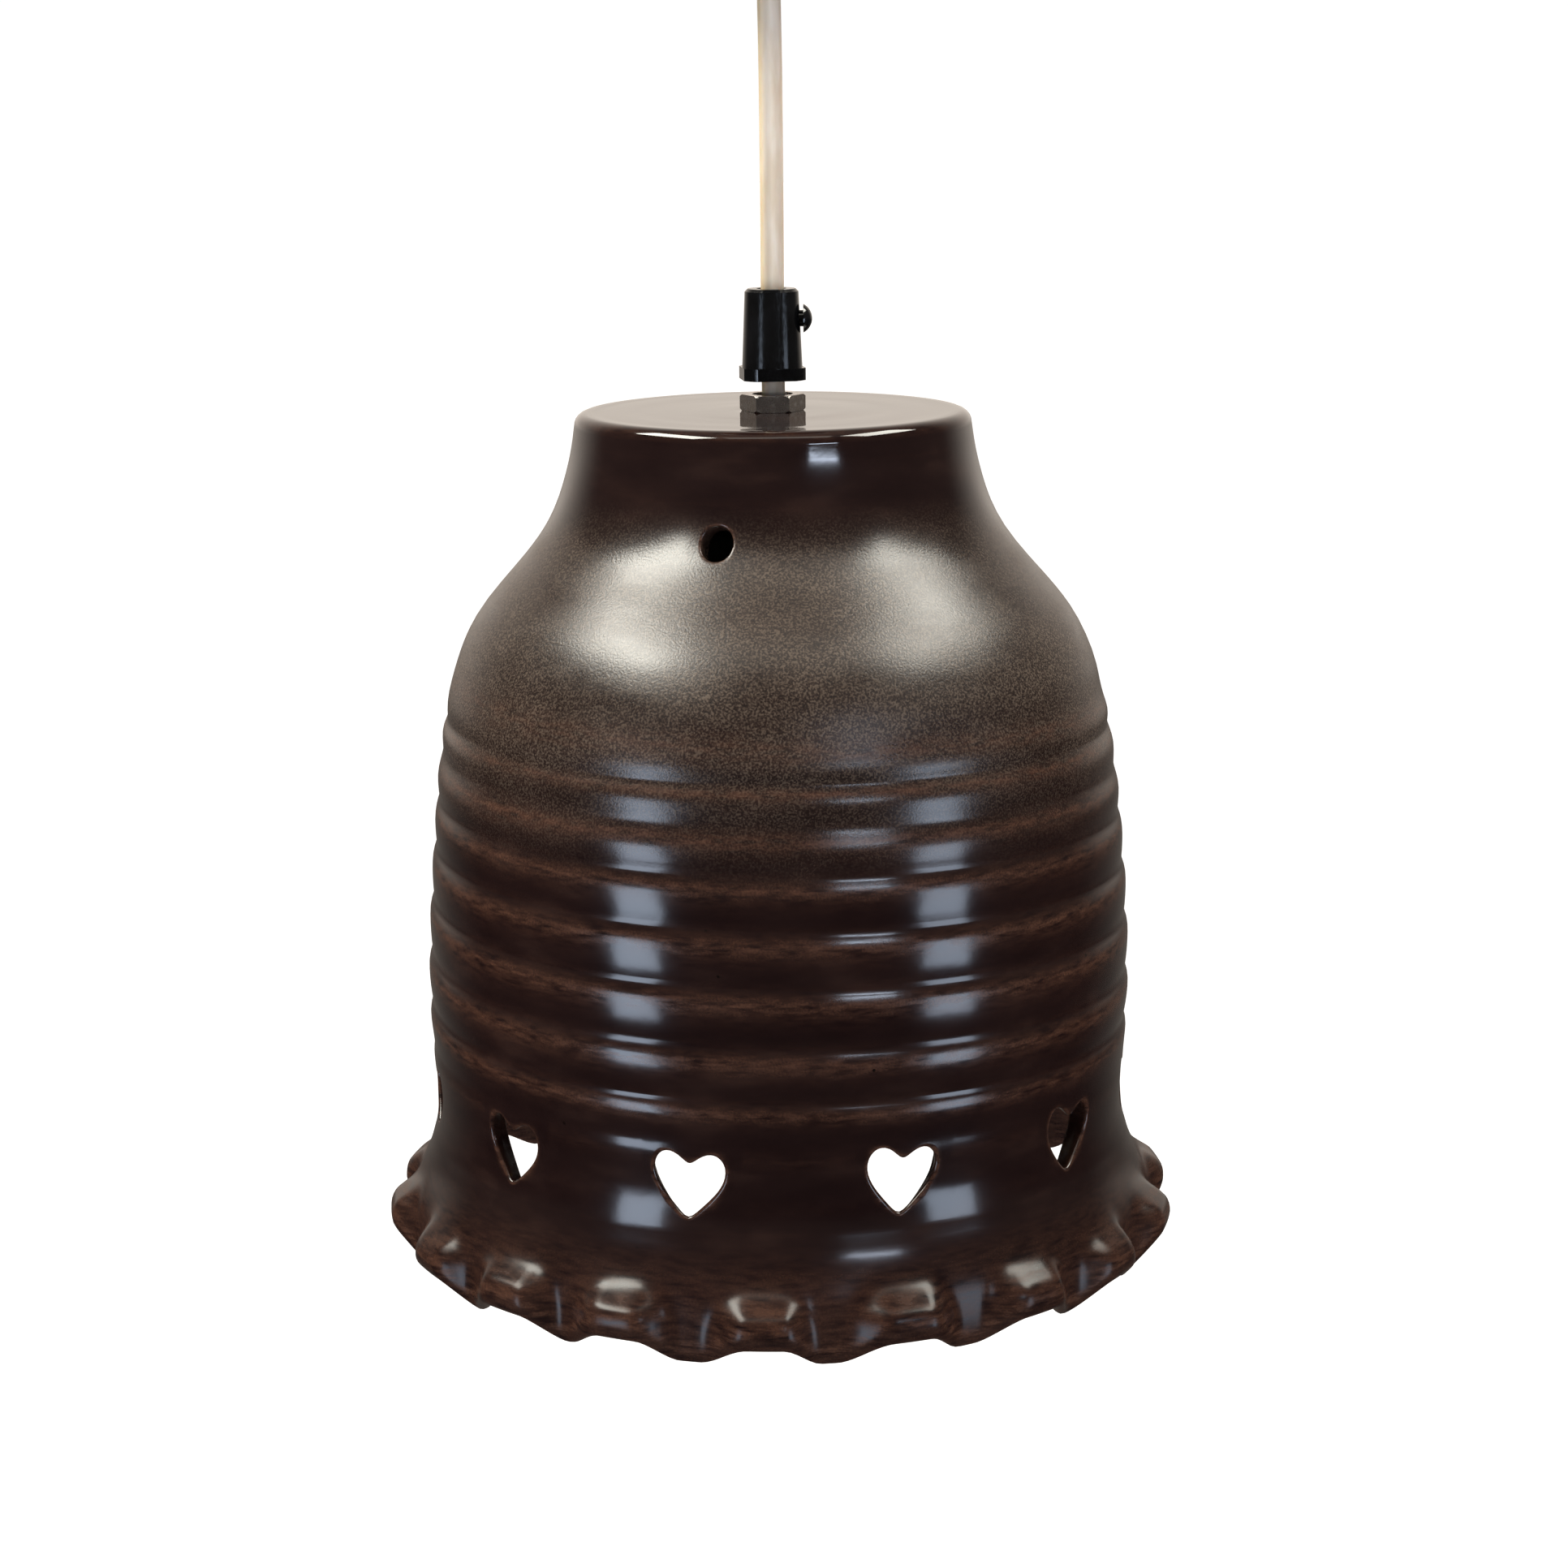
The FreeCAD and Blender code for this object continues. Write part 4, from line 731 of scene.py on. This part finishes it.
# ---------------------------------------------------------------- zinc-plated fittings
# The washer under the shade's top, the ceiling strap with its lugs and tab, the saddle that
# clamps the flex, and their screws: pressed and rolled steel, zinc-plated and passivated.
dressed(worn_metal("zinc_plated_steel", "#8e9297", "#b4b7ba", 3.5, 0.32, (1, 9, 9)),
        "steel_washer", "holder_grub_screw", "canopy_side_screws", "ceiling_bracket",
        "clamp_saddle", "clamp_screws", "block_screws")

# ---------------------------------------------------------------- fibre washer
# A red vulcanised-fibre washer that keeps the steel off the glaze: punched from pressed sheet,
# so its face is dull and faintly felted and its cut edge shows the layers.
fibre, at = new_material("red_vulcanised_fibre")
felt = pattern(fibre, at, 0.4, 4, (3, 3, 1))
finish_material(fibre, [("Base Color", graded(fibre, felt, (0.35, "#5e2219"), (0.65, "#8a3b2c"))),
                        ("Normal", bumped(fibre, felt, 0.05))], Roughness=0.72, IOR=1.5)
dressed(fibre, "fibre_washer")

# ---------------------------------------------------------------- black mouldings
# The cord grip and its screw, the lampholder's cap and skirt, the canopy and its outlet bush:
# compression-moulded and left as they came from the polished mould, black and glossy.
def moulded(name, dark, light, roughness, ripple_mm):
    """A moulding's even colour, clouded a little by flow, over the mould's slow ripple and the
    dust and fine scratches of handling."""
    plastic, at = new_material(name)
    flow = pattern(plastic, at, 7, 3)
    dust = pattern(plastic, at, 0.5, 3, (1, 1, 3))
    rough = add(plastic, "MapRange", [("Value", dust)], From_Min=0.4, From_Max=0.75,
                To_Min=roughness, To_Max=roughness + 0.12)
    ripple = bumped(plastic, pattern(plastic, at, 3.2, 1), ripple_mm, 0.5)
    grain = bumped(plastic, dust, 0.006, 0.5, under=ripple)
    return finish_material(plastic, [("Base Color", graded(plastic, flow, (0.35, dark),
                                                           (0.65, light))),
                                     ("Roughness", rough.outputs[0]), ("Normal", grain)],
                           IOR=1.54)


# Polished phenolic: deep black with sharp highlights, softened where dust lies.
dressed(moulded("polished_black_phenolic", "#060607", "#0d0d0f", 0.1, 0.02), "cord_grip",
        "grip_screw", "holder_cap", "holder_skirt", "outlet_bush")
# The canopy is polypropylene: a softer, greyer black with a satin face.
dressed(moulded("satin_black_polypropylene", "#0d0d0e", "#161617", 0.3, 0.04), "canopy")
# Natural nylon for the tip that bears on the flex: milky and slightly waxy.
dressed(moulded("natural_nylon", "#cfc8b4", "#ddd7c6", 0.38, 0.01), "grip_screw_tip")
# Off-white polyamide for the terminal block: matt where the tool was spark-eroded.
dressed(moulded("off_white_polyamide", "#c9c5b8", "#d8d4c8", 0.48, 0.02), "terminal_block")

# ---------------------------------------------------------------- lampholder's insides
# An unglazed porcelain insert, pressed and fired, that carries brass terminals, the rolled
# brass screw shell and a sprung brass centre contact.
porcelain, at = new_material("unglazed_electrical_porcelain")
bisque = pattern(porcelain, at, 0.35, 3)
finish_material(porcelain, [("Base Color", graded(porcelain, pattern(porcelain, at, 5, 3),
                                                  (0.35, "#d8d2c4"), (0.65, "#e6e2d8"))),
                            ("Normal", bumped(porcelain, bisque, 0.02, 0.6))],
                Roughness=0.55, IOR=1.5, Subsurface_Weight=0.1, Subsurface_Scale=0.0008)
dressed(porcelain, "porcelain_insert")
# Pressed brass: warm yellow, with darker fingermarks and fine drawing lines.
dressed(worn_metal("pressed_brass", "#a07c42", "#cfae68", 2.2, 0.2, (1, 1, 8)),
        "holder_terminals", "screw_shell", "centre_contact")

# ---------------------------------------------------------------- flex inside the lamp, cores
# The same flat flex runs on through the nipple and up into the clamp, and its stripped cores,
# one brown and one blue, fan out to the terminals: stranded copper under extruded PVC.
dressed(sheath, "flex_in_nipple", "flex_tail")
for name, dark, light in (("brown", "#3a1e12", "#4a2817"), ("blue", "#1c3f7e", "#27509a")):
    dressed(moulded(f"extruded_{name}_pvc", dark, light, 0.42, 0.03), f"holder_{name}_core",
            f"canopy_{name}_core")

# ---------------------------------------------------------------- bulb
# A clear filament bulb: blown glass sealed to a rolled aluminium screw cap, black glass
# between cap and tip contact, and four phosphor-coated strips on a glass stem.
def blown(name, tint, thickness_mm):
    """Clear glass with the slow unevenness of blowing and a faint film of dust."""
    glass, at = new_material(name)
    film = add(glass, "MapRange", [("Value", pattern(glass, at, 9, 3))], From_Min=0.45,
               From_Max=0.8, To_Min=0.0, To_Max=0.06)
    waves = bumped(glass, pattern(glass, at, 12, 1), thickness_mm, 0.3)
    return finish_material(glass, [("Roughness", film.outputs[0]), ("Normal", waves)],
                           Base_Color=linear(tint), IOR=1.5, Transmission_Weight=1.0)


dressed(blown("clear_blown_glass", "#f2f6f5", 0.05), "bulb_glass")
dressed(blown("pressed_glass_stem", "#e6efec", 0.02), "bulb_stem")
black_glass, at = new_material("black_cap_glass")
pits = pattern(black_glass, at, 0.6, 2)
finish_material(black_glass, [("Base Color", graded(black_glass, pits, (0.4, "#08080a"),
                                                    (0.7, "#15151a"))),
                              ("Normal", bumped(black_glass, pits, 0.02, 0.5))],
                Roughness=0.12, IOR=1.6)
dressed(black_glass, "bulb_insulator")
dressed(worn_metal("rolled_aluminium", "#9fa1a3", "#c8cacb", 2.0, 0.22, (1, 1, 6)), "bulb_cap")
dressed(worn_metal("tinned_solder", "#8a8c90", "#b9bbbf", 0.8, 0.3), "bulb_tip")
phosphor, at = new_material("phosphor_coated_strip")
coat = pattern(phosphor, at, 0.7, 3, (1, 1, 1.6))
finish_material(phosphor, [("Base Color", graded(phosphor, coat, (0.35, "#c99a2e"),
                                                 (0.65, "#e6bf57"))),
                           ("Normal", bumped(phosphor, coat, 0.04, 0.6))],
                Roughness=0.6, IOR=1.45)
dressed(phosphor, "bulb_filaments")

# ---------------------------------------------------------------- floor and light
# A plain pale floor far below the hanging lamp, a white room behind it and a dim one in front,
# with three windows, two soft boxes overhead and a faint bounce off the ceiling.
FLOOR_Z = -1.5
ROOM_SEEN = 1.02
LIT_DEPTH = 0.09
floor_mesh = bpy.data.meshes.new("floor")
floor_mesh.from_pydata([(-30, -30, FLOOR_Z), (30, -30, FLOOR_Z), (30, 40, FLOOR_Z),
                        (-30, 40, FLOOR_Z)], [], [(0, 1, 2, 3)])
floor = bpy.data.objects.new("floor", floor_mesh)
bpy.context.scene.collection.objects.link(floor)
paint, at = new_material("pale_painted_floor")
finish_material(paint, Base_Color=linear("#f4f3f1"), Roughness=0.7,
                Emission_Color=linear("#ffffff"), Emission_Strength=0.9)
floor.data.materials.append(paint)
floor.visible_glossy = False

world = bpy.data.worlds.new("room")
bpy.context.scene.world = world
world.use_nodes = True
world.node_tree.nodes.clear()
look = add(world, "TexCoord").outputs["Generated"]
way = add(world, "SeparateXYZ", [(0, look)])
behind = add(world, "MapRange", [("Value", way.outputs["Y"])], interpolation_type="SMOOTHSTEP",
             From_Min=0.35, From_Max=1.0, To_Min=0.06, To_Max=1.0)
above = add(world, "MapRange", [("Value", way.outputs["Z"])], interpolation_type="SMOOTHSTEP",
            From_Min=-0.18, From_Max=0.04, To_Min=0.15, To_Max=1.0)
behind = maths(world, "MULTIPLY", behind.outputs[0], above.outputs[0])
overhead = add(world, "MapRange", [("Value", way.outputs["Z"])], interpolation_type="SMOOTHSTEP",
               From_Min=0.45, From_Max=0.95, To_Min=0.0, To_Max=0.26)
room_light = maths(world, "MAXIMUM", behind, overhead.outputs[0])
seen = add(world, "LightPath").outputs["Is Camera Ray"]
strength = add(world, "Mix", [("Factor", seen), (2, room_light)], data_type="FLOAT")
strength.inputs[3].default_value = ROOM_SEEN
warmth = add(world, "Mix", [("Factor", seen)], data_type="RGBA")
warmth.inputs[6].default_value = linear("#fff3e6")
warmth.inputs[7].default_value = linear("#ffffff")
sky = add(world, "Background", [("Color", warmth.outputs[2]), ("Strength", strength.outputs[0])])
add(world, "OutputWorld", [("Surface", sky.outputs[0])])


def soft_light(name, azimuth, elevation, distance, width, height, radiance, colour):
    """An area light facing the lamp, azimuth from the front and elevation above level in
    degrees, whose power is pi times its area times its radiance."""
    centre = Vector((0, 0, plate_z - LIT_DEPTH))
    a, e = math.radians(azimuth), math.radians(elevation)
    towards = Vector((math.sin(a) * math.cos(e), -math.cos(a) * math.cos(e), math.sin(e)))
    lamp = bpy.data.lights.new(name, "AREA")
    lamp.shape = "RECTANGLE"
    lamp.size, lamp.size_y = width, height
    lamp.energy = radiance * width * height * math.pi
    lamp.color = linear(colour)[:3]
    light = bpy.data.objects.new(name, lamp)
    bpy.context.scene.collection.objects.link(light)
    light.matrix_world = (Matrix.Translation(centre + towards * distance)
                          @ towards.to_track_quat("Z", "Y").to_matrix().to_4x4())
    light.visible_camera = False


soft_light("left_window", -45, -10, 2.0, 0.5, 0.8, 8, "#cfdff5")
soft_light("right_window", 54, -9, 2.0, 0.55, 0.75, 6.5, "#cfdff5")
soft_light("far_window", 28, 13, 2.0, 0.55, 0.07, 24, "#d6e4f8")
soft_light("ceiling_bounce", 4, 62, 1.6, 1.3, 0.4, 1.6, "#f7f5ea")
soft_light("left_soft_box", -76, 50, 1.6, 1.1, 0.5, 24, "#f7f5ea")
soft_light("right_soft_box", 84, 50, 1.6, 1.0, 0.5, 17, "#f7f5ea")
bpy.context.scene.view_settings.view_transform = "Standard"
